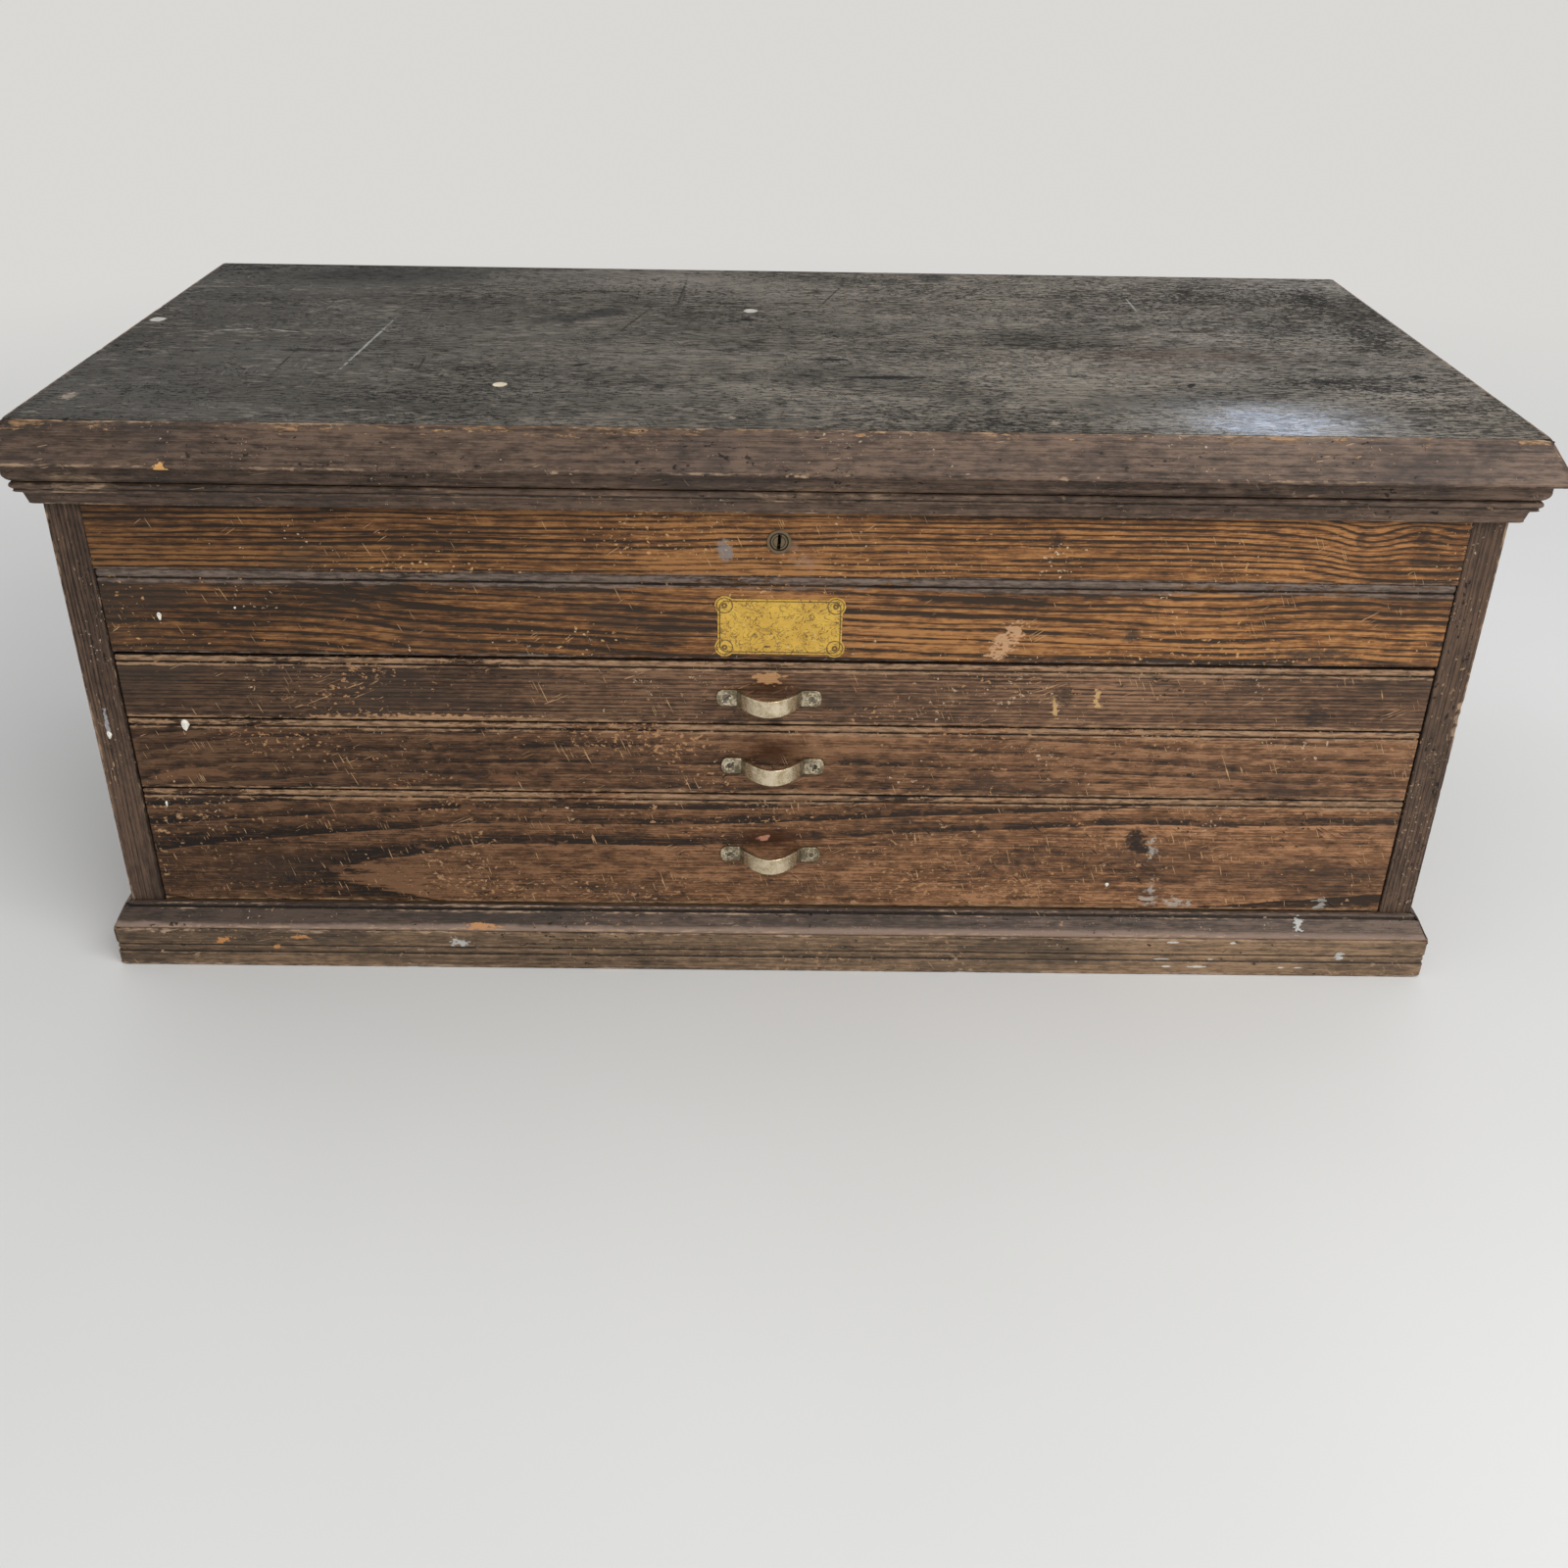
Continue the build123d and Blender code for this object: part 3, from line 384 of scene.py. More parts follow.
    def torn(self, colour, low, high, axis):
        """Bare torn wood in a rough band that grows along an axis from low to high, in metres."""
        streak = self.cloud((60, 330, 330), 2.7, 4, 0.7)
        broad = self.cloud((11, 30, 30), 2.3, 3, 0.6)
        cover = axis.smooth(low, high) + (streak - 0.5) * 3.0 + (broad - 0.5) * 2.4
        cover = cover + (self.ragged - 0.5) * 1.2
        cover = cover.smooth(1.05, 1.30) * axis.smooth(low, low + 0.001) * 0.85
        pale = self.mix(streak.smooth(0.50, 0.68), tuple(0.35 * part for part in colour), colour)
        self.lay(cover, pale, -1.0, 0.2)

    def seams(self, places):
        """Dark joints between boards, at places across the grain, in metres."""
        for place in places:
            gap = (self.across - place).size().smooth(0.0011, 0.0004)
            self.lay(gap * 0.95, NEAR_BLACK)
            self.height = self.height - gap * 3.0

    def plain(self, cover, light=(0.34, 0.195, 0.098), dark=(0.150, 0.082, 0.042)):
        """Unstained wood, for the sides of a board that face the inside of the chest."""
        grain = self.fibres * 0.7 + self.slow * 0.5 + self.line * 0.15
        self.lay(cover, self.mix(grain.smooth(0.42, 0.80), light, dark))
        self.height = self.height * (1.0 - cover * 0.6)

    def done(self, depth=0.0004, strength=0.6, gloss=0.2):
        rough = self.rough.calc("ADD", 0.0, clamp=True)
        return self.finish(self.colour, rough, self.height, depth, strength, Specular_IOR_Level=gloss)


# Steps round a rounded corner
QUARTERS = (0.0, 0.25, 0.5, 0.75, 1.0)


def outline(corners, step=7.0, near=(0.8, 1.8, 3.5), worn_reach=1.6, dirt_and_shade_reach=1.2):
    """A closed section from corners (a, b, radius, edge, grime with painted shade), in millimetres, rounded
    and divided.

    Returns rows of a, b, inward a, inward b, edge, and grime with painted shade."""
    count = len(corners)
    points = []
    for index, (a, b, radius, edge, dirt_and_shade) in enumerate(corners):
        here = np.array((a, b))
        before = np.array(corners[index - 1][:2]) - here
        after = np.array(corners[(index + 1) % count][:2]) - here
        len_before, len_after = np.linalg.norm(before), np.linalg.norm(after)
        before, after = before / len_before, after / len_after
        angle = math.acos(max(-1.0, min(1.0, float(before @ after))))
        if radius <= 0 or angle > math.radians(172):
            points.append((here, edge, dirt_and_shade))
            continue
        tangent = min(radius / math.tan(angle / 2), 0.42 * len_before, 0.42 * len_after)
        start, end = here + before * tangent, here + after * tangent
        for share in QUARTERS:
            curve = (1 - share) ** 2 * start + 2 * share * (1 - share) * here + share ** 2 * end
            points.append((curve, edge, dirt_and_shade))
    rows = []
    for index, (here, edge, dirt_and_shade) in enumerate(points):
        ahead, edge_ahead, dirt_and_shade_ahead = points[(index + 1) % len(points)]
        rows.append((here[0], here[1], edge, dirt_and_shade))
        length = float(np.linalg.norm(ahead - here))
        if length < 2.4 * near[0]:
            continue
        stops = [n for n in near if n < 0.45 * length]
        inner = length - 2 * stops[-1]
        divisions = max(1, round(inner / step))
        cuts = stops + [stops[-1] + inner * k / divisions for k in range(1, divisions)]
        for cut_at in cuts + [length - n for n in reversed(stops)]:
            spot = here + (ahead - here) * cut_at / length
            wear, filth_and_shade = (
                max(one * math.exp(-cut_at / reach), other * math.exp(-(length - cut_at) / reach))
                for one, other, reach in ((edge, edge_ahead, worn_reach), (dirt_and_shade, dirt_and_shade_ahead, dirt_and_shade_reach))
            )
            rows.append((spot[0], spot[1], wear, filth_and_shade))
    table = np.array(rows)
    flat = table[:, :2]
    along = np.roll(flat, -1, axis=0) - np.roll(flat, 1, axis=0)
    inward = np.stack((-along[:, 1], along[:, 0]), axis=1)
    area = np.sum(flat[:, 0] * np.roll(flat[:, 1], -1) - np.roll(flat[:, 0], -1) * flat[:, 1])
    inward *= np.sign(area) / np.maximum(np.linalg.norm(inward, axis=1, keepdims=True), 1e-9)
    return np.hstack((flat, inward, table[:, 2:]))


def stations(start, end, step, rounding=0.0):
    """Places along a run, with how far the section shrinks there to round the ends, in millimetres."""
    turns = [s * math.pi / 2 for s in QUARTERS] if rounding else [math.pi / 2]
    steps = [(rounding * (1 - math.cos(t)), rounding * (1 - math.sin(t))) for t in turns]
    first = [(start + into, shrink) for into, shrink in steps]
    last = [(end - into, shrink) for into, shrink in steps]
    low, high = first[-1][0], last[-1][0]
    divisions = max(1, round((high - low) / step))
    middle = [(low + (high - low) * k / divisions, 0.0) for k in range(1, divisions)]
    return first + middle + last[::-1]


def chip_depth(point, edge, chips):
    """How far in an edge is worn at a point in metres, in millimetres, and how much of that is a chip."""
    if edge < 0.02:
        return 0.0, 0.0
    broad = noise.noise(point * 18)
    fine = noise.noise(point * 170 + Vector((3, 9, 4)))
    nibble = noise.noise(point * 420 + Vector((8, 2, 6)))
    bite = max(0.0, 0.6 * fine + 0.45 * broad + 0.35 * nibble - 0.34) * chips * edge * edge
    return 0.18 * edge + 0.12 * edge * nibble + bite, bite


def dent_depth(point, dents):
    """Placed chips: a list of centre, radius and depth, in millimetres."""
    deepest = 0.0
    for centre, radius, depth in dents:
        gap = (point - Vector(centre) * MM).length / MM
        if gap < radius:
            ragged = 0.75 + 0.5 * noise.noise(point * 400)
            deepest = max(deepest, depth * ragged * (1 - (gap / radius) ** 2))
    return deepest


def bands(count, size, start=0, closed=False):
    """Faces between each ring of points and the next."""
    faces = []
    for k in range(count if closed else count - 1):
        here, there = start + k * size, start + (k + 1) % count * size
        for j in range(size):
            n = (j + 1) % size
            faces.append((here + j, here + n, there + n, there + j))
    return faces


def bar_faces(count, size):
    """Faces of a bar with both its ends closed."""
    return bands(count, size) + [tuple(range(size)), tuple(range((count - 1) * size, count * size))]


# Millimetres that every worn face is taken in at most, so that it lies inside its solid
SLACK = 0.10
# Millimetres between the sections of a front, a moulding and a side
FRONT_STEP, MOULDING_STEP, SIDE_STEP = 2.4, 2.6, 3.2


def sweep(name, section, run, place, chips, dents=()):
    """A worn bar: the section carried along a run. place turns (run, a, b) into a point in millimetres."""
    vertices, edge, bare, grime_and_shade = [], [], [], []
    for at, inset in run:
        for a, b, in_a, in_b, wear, dirt_and_shade in section:
            nominal = Vector(place(at, a, b)) * MM
            depth, bite = chip_depth(nominal, min(1.0, wear + (0.5 if inset else 0.0)), chips)
            dent = dent_depth(nominal, dents)
            slack = SLACK * (0.5 + 0.5 * noise.noise(nominal * 14 + Vector((7, 1, 5))))
            shift = max(depth, dent) + inset + slack
            vertices.append(Vector(place(at, a + in_a * shift, b + in_b * shift)) * MM)
            edge.append(wear)
            bare.append(max(bite / 0.7, dent / 0.5))
            grime_and_shade.append(dirt_and_shade)
    faces = bar_faces(len(run), len(section))
    return piece(name, vertices, faces, {"edge": edge, "bare": bare, "grime_and_shade": grime_and_shade})


def piece(name, vertices, faces, attributes, smooth_angle=38.0):
    """A mesh object with float attributes on its points."""
    mesh = bpy.data.meshes.new(name)
    mesh.from_pydata([tuple(v) for v in vertices], [], faces)
    for key, values in attributes.items():
        layer = mesh.attributes.new(key, "FLOAT", "POINT")
        layer.data.foreach_set("value", np.clip(np.array(values, np.float32), 0, 1))
    shaped = bmesh.new()
    shaped.from_mesh(mesh)
    caps = [f for f in shaped.faces if len(f.verts) > 4]
    bmesh.ops.triangulate(shaped, faces=caps)
    bmesh.ops.recalc_face_normals(shaped, faces=shaped.faces)
    limit = math.radians(smooth_angle)
    for face in shaped.faces:
        face.smooth = True
    for line in shaped.edges:
        line.smooth = len(line.link_faces) == 2 and line.calc_face_angle(0.0) < limit
    shaped.to_mesh(mesh)
    shaped.free()
    return placed(name, mesh)


def placed(name, data):
    """A new object in the scene."""
    made = bpy.data.objects.new(name, data)
    bpy.context.scene.collection.objects.link(made)
    return made


def dress(made, body, slot, material, *nodes):
    """Give a piece its material and body, and hide the CAD nodes that it stands for."""
    made.data.materials.append(material)
    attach(made, body)
    if nodes:
        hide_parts(*nodes)


def paint(material, *nodes, bevel=0.5):
    """Give CAD nodes a material and softened edges. The bevel is in millimetres."""
    for node in nodes:
        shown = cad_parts[node]
        shown.data.materials.clear()
        shown.data.materials.append(material)
        weld = shown.modifiers.new("weld", "WELD")
        weld.merge_threshold = 0.00001
        soft = shown.modifiers.new("bevel", "BEVEL")
        soft.width = bevel * MM
        soft.segments = 2
        soft.limit_method = "ANGLE"
        soft.angle_limit = math.radians(35)
        soft.harden_normals = True


def across_front(at, a, b):
    """A mitred run along the front: at goes from -1 to 1, a is the distance out from the case."""
    return ((half_mm + a) * at, front_mm - a, b)


def along_right(at, a, b):
    """A mitred run along the right side: at goes from 0 at the front corner to 1 at the back."""
    return (half_mm + a, (front_mm - a) * (1 - at) + back_mm * at, b)


def along_left(at, a, b):
    x, y, z = along_right(at, a, b)
    return (-x, y, z)


def straight(x, y, z):
    return (x, y, z)


def mitred_run(length, step, both, radius):
    """Shares of a mitred run, closer near its corners, where the section shrinks to round the arris."""
    count = round(length / step)
    shares = [k / count for k in range(count + 1)]
    close = [n / count for n in (0.12, 0.3, 0.55)]
    if both:
        close = [1 - 2 * n for n in close]
        shares = [round(2 * s - 1, 6) for s in shares] + [-n for n in close]
    run = []
    for at in sorted(shares + close):
        to_corner = (1 - abs(at)) * length / 2 if both else at * length
        run.append((at, radius * math.exp(-to_corner / (1.3 * radius))))
    return run


def moulding(stem, body, corners, woods, chips, corner):
    """The front, right and left runs of one moulding. corner is how far its corners are worn round."""
    section = outline(corners)
    reach = max(row[0] for row in section)
    front_run = mitred_run(2 * (half_mm + reach), MOULDING_STEP, True, corner)
    side_run = mitred_run(back_mm - front_mm + reach, 1.6 * MOULDING_STEP, False, corner)
    for side, run, place, wood in (
        ("front", front_run, across_front, woods[0]),
        ("right", side_run, along_right, woods[1]),
        ("left", side_run, along_left, woods[1]),
    ):
        made = sweep(f"{stem}_{side}_worn", section, run, place, chips)
        dress(made, body, "dark_wood", wood.material, f"{stem}_{side}")


def arc(start, middle, end, count, edge=0.0, grime_and_shade=0.0):
    """Corners on the circle through three points of a section."""
    (ax, ay), (bx, by), (cx, cy) = start, middle, end
    d = 2 * (ax * (by - cy) + bx * (cy - ay) + cx * (ay - by))
    sa, sb, sc = ax * ax + ay * ay, bx * bx + by * by, cx * cx + cy * cy
    ux = (sa * (by - cy) + sb * (cy - ay) + sc * (ay - by)) / d
    uy = (sa * (cx - bx) + sb * (ax - cx) + sc * (bx - ax)) / d
    radius = math.hypot(ax - ux, ay - uy)
    first, mid, last = (math.atan2(y - uy, x - ux) for x, y in (start, middle, end))
    turn = (last - first) % math.tau
    if (mid - first) % math.tau > turn:
        turn -= math.tau
    angles = [first + turn * k / count for k in range(count + 1)]
    return [(ux + radius * math.cos(t), uy + radius * math.sin(t), 0.0, edge, grime_and_shade) for t in angles]


# Sections of the mouldings: corners with the distance out from the case, the height, the radius,
# and how worn each is, and how dark with dirt and painted shade


def plinth_section():
    """A board with one reed between two grooves."""
    face, groove, reed, half = 13.2, 12.0, 14.8, 2.8
    top = plinth_top / MM
    corners = [(0, 0, 0, 0, 0), (face, 0, 1.4, 1, 0.4), (face, reed - half - 1.2, 0.4, 0.5, 0)]
    corners += arc((groove, reed - half), (groove + 0.9, reed), (groove, reed + half), 6, 0.25)
    corners[3] = (*corners[3][:4], 1.0)
    corners[-1] = (*corners[-1][:4], 1.0)
    corners += [(face, reed + half + 1.2, 0.4, 0.6, 0), (face, top, 1.0, 1, 0), (0, top, 0, 0, 1.0)]
    return corners


def cap_section():
    """A steep slope between a thin foot and a square fillet."""
    low, top = plinth_top / MM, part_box("base_cap_front")[1].z / MM
    foot, slope_top, fillet = 11.9, 5.6, 3.6
    shoulder = top - 3.2
    return [
        (0, low, 0, 0, 0), (foot, low, 0.3, 0, 1.0), (foot, low + 1.3, 0.5, 1, 0.2),
        (slope_top, shoulder, 0.5, 0.8, 0), (fillet, shoulder, 0.3, 0, 1.0), (fillet, top, 0.6, 0.8, 0),
        (0, top, 0, 0, 0.9),
    ]


def cornice_section():
    """A bead over a small step, a cove and a nearly upright fascia."""
    foot, top = (corner.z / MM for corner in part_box("cornice_front"))
    bead, step = top - 4.5, top - 6.8
    nose, fascia, inner = 13.3, 7.4, 9.45
    under, fascia_z = nose - 1.8, foot + 5.7
    corners = [(0, top, 0, 0, 0)]
    corners += arc((under, top), (nose, top - 2.25), (under, bead), 8, 0.55)
    corners[-1] = (*corners[-1][:4], 0.9)
    corners += [(under, step, 0.25, 0.7, 0)]
    corners += arc((inner, step), (fascia + 0.5, (fascia_z + step) / 2), (fascia, fascia_z), 5, 0, 0.25)
    corners += [(6.0, foot, 0.4, 0.8, 0.3), (0, foot, 0, 0, 0)]
    return corners


def rim_section():
    """The bevelled edge of the lid, with a rounded nose."""
    inner, nose, shoulder = 8.0, 25.0, 9.9
    bevel = lid_top_mm - 23.0
    return [
        (inner, lid_mm, 0, 0, 0), (nose, lid_mm, 1.4, 0.4, 0.5), (nose, bevel, 0.8, 0.75, 0),
        (shoulder, lid_top_mm, 0.6, 1, 0), (inner, lid_top_mm, 0.0, 0.5, 0.8),
    ]


def skirt_section():
    """The strip under the lid."""
    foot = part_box("lid_skirt_front")[0].z / MM
    inner, outer = 0.5, 15.4
    corners = [(inner, lid_mm, 0, 0, 0.5), (outer, lid_mm, 0, 0, 1.0)]
    corners += arc((outer, foot + 6.9), (outer - 0.75, foot + 2.6), (outer - 3.45, foot), 7, 0.5)
    corners += [(inner, foot, 0, 0, 0.6)]
    return corners


def beaded_section(node):
    """A board with a bead and quirk along its upper front edge, as (y, z)."""
    low, high = (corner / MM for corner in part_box(node))
    thick, quirk, sunk, foot_wear, grime_and_shade = 4.4, 1.1, front_mm + 1.1, 0.9, 0.3
    if "rail" in node:
        thick, quirk, sunk, foot_wear, grime_and_shade = 5.6, 1.3, front_mm + 1.2, 0.45, 0.55
    bead = high.z - thick
    # The last number of each corner darkens with dirt and painted shade: most in the quirk, at the foot and
    # at the bead's top beside the gap, and on the rails over the whole bead.
    corners = [
        (front_mm, low.z, 0.9, foot_wear, 0.7), (front_mm, bead - quirk, 0.3, 0.9, 0),
        (sunk, bead - quirk / 2, 0, 0, 1.0),
    ]
    corners += arc((sunk, bead), (front_mm, high.z - thick / 2), (front_mm + 1.5, high.z), 7, 0.85, grime_and_shade)
    corners[3] = (*corners[3][:3], 0.0, 0.9)
    corners[-1] = (*corners[-1][:3], 0.2, 1.0)
    corners += [(high.y, high.z, 0.5, 0.4, 0), (high.y, low.z, 0.5, 0.3, 0)]
    return corners


def beaded_board(node, body, wood, chips, rounding=1.2):
    """A rail or drawer front."""
    end = (inner_mm if "rail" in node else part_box(node)[1].x / MM) - 0.12
    section = outline(beaded_section(node))
    made = sweep(f"{node}_worn", section, stations(-end, end, FRONT_STEP, rounding), straight, chips)
    dress(made, body, "front_wood", wood.material, node)


def plain_rail(node, body, wood, chips):
    """The upper rail, hollowed behind for the lock."""
    low, high = (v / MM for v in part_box(node))
    section = outline([
        (front_mm, low.z, 0.5, 0.5, 0.7), (front_mm, high.z, 0.5, 0.3, 0), (high.y, high.z, 0.6, 0.6, 0),
        (high.y, low.z, 0.6, 0.4, 0),
    ])
    end = inner_mm - 0.05
    made = sweep(f"{node}_worn", section, stations(-end, end, FRONT_STEP), straight, chips)
    case_low, case_high = (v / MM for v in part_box("lock_case"))
    body_half, plate_depth, barrel_radius = 30.0, 2.0, 7.05
    behind, above = high.y + 1, high.z + 1
    hollow(made, Vector((-body_half, case_low.y, case_low.z)), Vector((body_half, behind, above)))
    plate = Vector((case_low.x, case_low.y, case_high.z - plate_depth))
    hollow(made, plate, Vector((case_high.x, behind, above)))
    start, stop = front_mm - 1, case_low.y + 1
    centre = Vector((lock_centre.x / MM, (start + stop) / 2, lock_centre.z / MM))
    drill(made, centre, barrel_radius, barrel_radius, stop - start, 48)
    dress(made, body, "front_wood", wood.material, node)


def hollow(made, low, high):
    """Cut a box out of a piece. The corners are in millimetres."""
    tool = bmesh.new()
    place = Matrix.Translation((low + high) / 2 * MM) @ Matrix.Diagonal((*((high - low) * MM), 1))
    bmesh.ops.create_cube(tool, size=1.0, matrix=place)
    cut(made, tool)


def drill(made, centre, back_radius, front_radius, depth, segments=40):
    """Cut a round or tapered hole along Y, all in millimetres."""
    tool = bmesh.new()
    place = Matrix.Translation(centre * MM) @ Matrix.Rotation(math.pi / 2, 4, "X")
    bmesh.ops.create_cone(tool, cap_ends=True, segments=segments, radius1=back_radius * MM,
                          radius2=front_radius * MM, depth=depth * MM, matrix=place)
    cut(made, tool)


def cut(made, tool):
    """Take the tool's volume out of a piece."""
    mesh = bpy.data.meshes.new("tool")
    tool.to_mesh(mesh)
    tool.free()
    cutter = placed("tool", mesh)
    change = made.modifiers.new("cut", "BOOLEAN")
    change.operation = "DIFFERENCE"
    change.solver = "EXACT"
    change.object = cutter
    bpy.context.view_layer.update()
    evaluated = made.evaluated_get(bpy.context.evaluated_depsgraph_get())
    result = bpy.data.meshes.new_from_object(evaluated)
    made.modifiers.clear()
    made.data = result
    bpy.data.objects.remove(cutter)


def side_board(node, wood, sign):
    """A side of the case with its worn front edge, and the rabbet for the back boards."""
    back_thick, rabbet = 19.0, inner_mm + 10.0
    section = outline([
        (half_mm, front_mm, 1.0, 1, 0), (half_mm, back_mm, 0.9, 0.8, 0),
        (rabbet, back_mm, 0.3, 0, 0.6), (rabbet, back_mm - back_thick, 0, 0, 0),
        (inner_mm, back_mm - back_thick, 0, 0, 0), (inner_mm, front_mm, 0.5, 0.55, 0.6),
    ])
    run = stations(0.0, case_top / MM, SIDE_STEP, 0.7)
    chipped = ((213, 5, 0.9), (204, 4, 1.2), (195, 5, 0.9)) if sign > 0 else ()
    dents = [((half_mm, front_mm, z), radius, depth) for z, radius, depth in chipped]
    made = sweep(f"{node}_worn", section, run, lambda z, x, y: (sign * x, y, z), 1.9, dents)
    dress(made, "case", "dark_wood", wood.material, node)


# Rails and drawer fronts, with growth lines laid out as in the photograph
RAIL_TONES = ((0.43, 0.200, 0.068), (0.200, 0.085, 0.031), (0.042, 0.026, 0.016))
RAIL_LOOKS = {"figure": 0.7, "fibre": 0.5, "slow": 2.0, "mottle": 1.9}
lock_rail = Wood(
    "lock_rail", "xzy", 1.0, RAIL_TONES, 4.1, left_shade_and_dirt=0.50, ragged=0.45, vary=0.75, line=1.1, base=0.30,
    drift=((-440, 0), (-300, 1), (-150, 0), (0, 2), (275, 3), (350, 0), (400, -3), (440, -1)),
    knots=((368, 330, 18, 0.7), (404, 334, 17, -0.8)), **RAIL_LOOKS,
)
label_rail = Wood(
    "label_rail", "xzy", 2.0, RAIL_TONES, 5.6, left_shade_and_dirt=0.60, ragged=0.40, vary=0.7, line=1.15, base=0.51,
    drift=((-440, 0), (-385, 1), (-310, 0), (-235, -6), (-150, -10), (-42, -15), (60, -18), (150, -20),
           (225, -21), (282, -23), (325, -21.5), (362, -20.5), (400, -23), (440, -25)), **RAIL_LOOKS,
)
top_drawer = Wood(
    "top_drawer", "xzy", 3.0, ((0.29, 0.160, 0.088), (0.120, 0.064, 0.037), (0.036, 0.023, 0.016)), 2.9,
    left_shade_and_dirt=0.36, figure=0.6, line=0.6, mottle=1.6,
)
middle_drawer = Wood(
    "middle_drawer", "xzy", 4.0, ((0.31, 0.160, 0.080), (0.140, 0.068, 0.034), (0.034, 0.021, 0.014)), 10.5,
    left_shade_and_dirt=0.36, figure=0.45, saw=True, line=0.60, mottle=2.4, ragged=0.3,
    drift=((-440, -24), (-330, -9), (-200, -3), (0, 0), (150, -3), (300, -10), (440, -17)),
)
bottom_drawer = Wood(
    "bottom_drawer", "xzy", 5.0, ((0.40, 0.200, 0.097), (0.170, 0.080, 0.037), (0.036, 0.022, 0.015)), 7.0,
    left_shade_and_dirt=0.32, figure=0.06, saw=True, line=1.05, slow=1.0, mottle=2.4, ragged=0.12, base=0.34,
    heart=(((-440, 70.5), (-305, 70.5), (-205, 71), (-45, 71), (125, 74), (295, 84), (440, 92)),
           ((-440, 85.5), (-305, 80.02), (-255, 78.3), (-205, 75.9), (-45, 75.3), (32, 73.5), (125, 71),
            (250, 70.5), (295, 72.5), (440, 74.9))),
)

lock_rail.marks([(-34, 317, 5, 8, 10)], GREY_HAZE, 0.8)
lock_rail.marks([(17, 310, 13, 7, -20), (9, 320, 5, 5)], (0.32, 0.185, 0.115), 0.55, soft=0.9, rag=3.0)
lock_rail.marks([(175, 327, 6, 9), (404, 333, 8, 9, 10), (366, 330, 6, 7)], (0.030, 0.018, 0.013), 0.75,
                soft=0.8)
label_rail.marks([(350, 250, 42, 6), (230, 262, 10, 7, 20)], (0.045, 0.033, 0.026), 0.8, soft=0.9)
for wood in (lock_rail, label_rail):
    wood.grime_and_shade((0.040, 0.027, 0.019), 0.54, 0.68, 0.7, ends=0.06)
    wood.flecks((0.55, 0.31, 0.13), 0.665)
    wood.pale_specks((0.66, 0.50, 0.33), 0.72)
    wood.scratches((0.60, 0.36, 0.17), 0.76, 65)
    wood.scratches((0.55, 0.33, 0.16), 0.77, -35, seed=4.3)
label_rail.marks([(154, 264, 7, 6, 30), (148, 256, 7, 7, 60), (143, 249, 6, 6, 40)], (0.56, 0.33, 0.18), 0.85,
                 soft=0.6, rag=5.5)
# On the label rail the pale grey-brown along the bead's top is partly bare worn wood and partly a painted
# highlight; on both rails the rest is worn arrises.
for wood in (lock_rail, label_rail):
    wood.edges((0.20, 0.150, 0.120), 0.20, 0.70, 0.85, weight=2.2)

COARSE = (90, 800, 800)
for wood, level in ((top_drawer, 0.0), (middle_drawer, 0.5), (bottom_drawer, 1.0)):
    wood.grime_and_shade((0.040, 0.028, 0.021), share=0.65, ends=0.05)
    wood.flecks((0.20, 0.095, 0.045), 0.60 - 0.02 * level, scale=(60, 110, 110), seed=1.3, share=0.5,
                relief=-0.3, soft=0.08)
    wood.flecks((0.42, 0.225, 0.105), 0.668 - 0.023 * level)
    wood.pale_specks((0.52, 0.37, 0.24), 0.71)
    wood.dark_specks((0.020, 0.014, 0.011), 0.70 - 0.015 * level)
    wood.scratches((0.55, 0.34, 0.17), 0.75, 68)
    wood.scratches((0.48, 0.28, 0.14), 0.75, -24, seed=4.3)
bottom_drawer.scratches((0.020, 0.014, 0.010), 0.71, 38, seed=7.3, scale=COARSE)
bottom_drawer.flecks((0.44, 0.255, 0.130), 0.685, (130, 180, 180), 8.3, cluster=(10, 14, 14), share=0.8)
bottom_drawer.scratches((0.50, 0.30, 0.15), 0.72, 74, seed=9.3, scale=COARSE)
bottom_drawer.marks([(-355, 73, 60, 20, 10), (30, 62, 70, 9), (170, 88, 50, 14, 20)], (0.050, 0.031, 0.021),
                    0.55, soft=1.0, rag=3.0)
top_drawer.marks([(-225, 196, 85, 2.6)], (0.46, 0.26, 0.13), 0.9, soft=0.6, rag=4.0)
top_drawer.marks([(185, 210, 2, 9, 8), (212, 217, 2, 7, -8), (214, 211, 3, 2)], (0.55, 0.35, 0.15), 0.9,
                 rag=3.5)
top_drawer.marks([(190, 218, 10, 9), (360, 205, 9, 12)], (0.030, 0.022, 0.018), 0.7, soft=0.8, rag=3.0)
for wood, place, share in (
    (top_drawer, (-5, 222, 30, 12), 0.8), (middle_drawer, (-2, 175, 34, 12), 0.85),
    (bottom_drawer, (-4, 105, 38, 13), 0.85),
):
    wood.marks([place], FINGER_BROWN, share, soft=1.0, rag=0.6, rough=-0.15)
top_drawer.marks([(-6, 228, 11, 4.5)], (0.50, 0.27, 0.12), 0.9, rag=3.0)
bottom_drawer.marks([(-8, 105, 5, 2.5, 15)], (0.48, 0.22, 0.14), 0.9)
bottom_drawer.marks([(252, 106, 9, 11, 10), (258, 98, 8, 5)], (0.016, 0.012, 0.011), 0.9, soft=0.5)
bottom_drawer.marks([
    (264, 100, 3, 6), (268, 66, 4, 6), (267, 56, 7, 4), (287, 54, 12, 3.5), (390, 53, 4, 5), (264, 96, 2, 5),
], (0.44, 0.42, 0.37), 0.65, soft=0.8, rag=6.5)
for wood in (top_drawer, middle_drawer, bottom_drawer):
    wood.edges((0.38, 0.230, 0.130), 0.22, 0.62, weight=1.6)

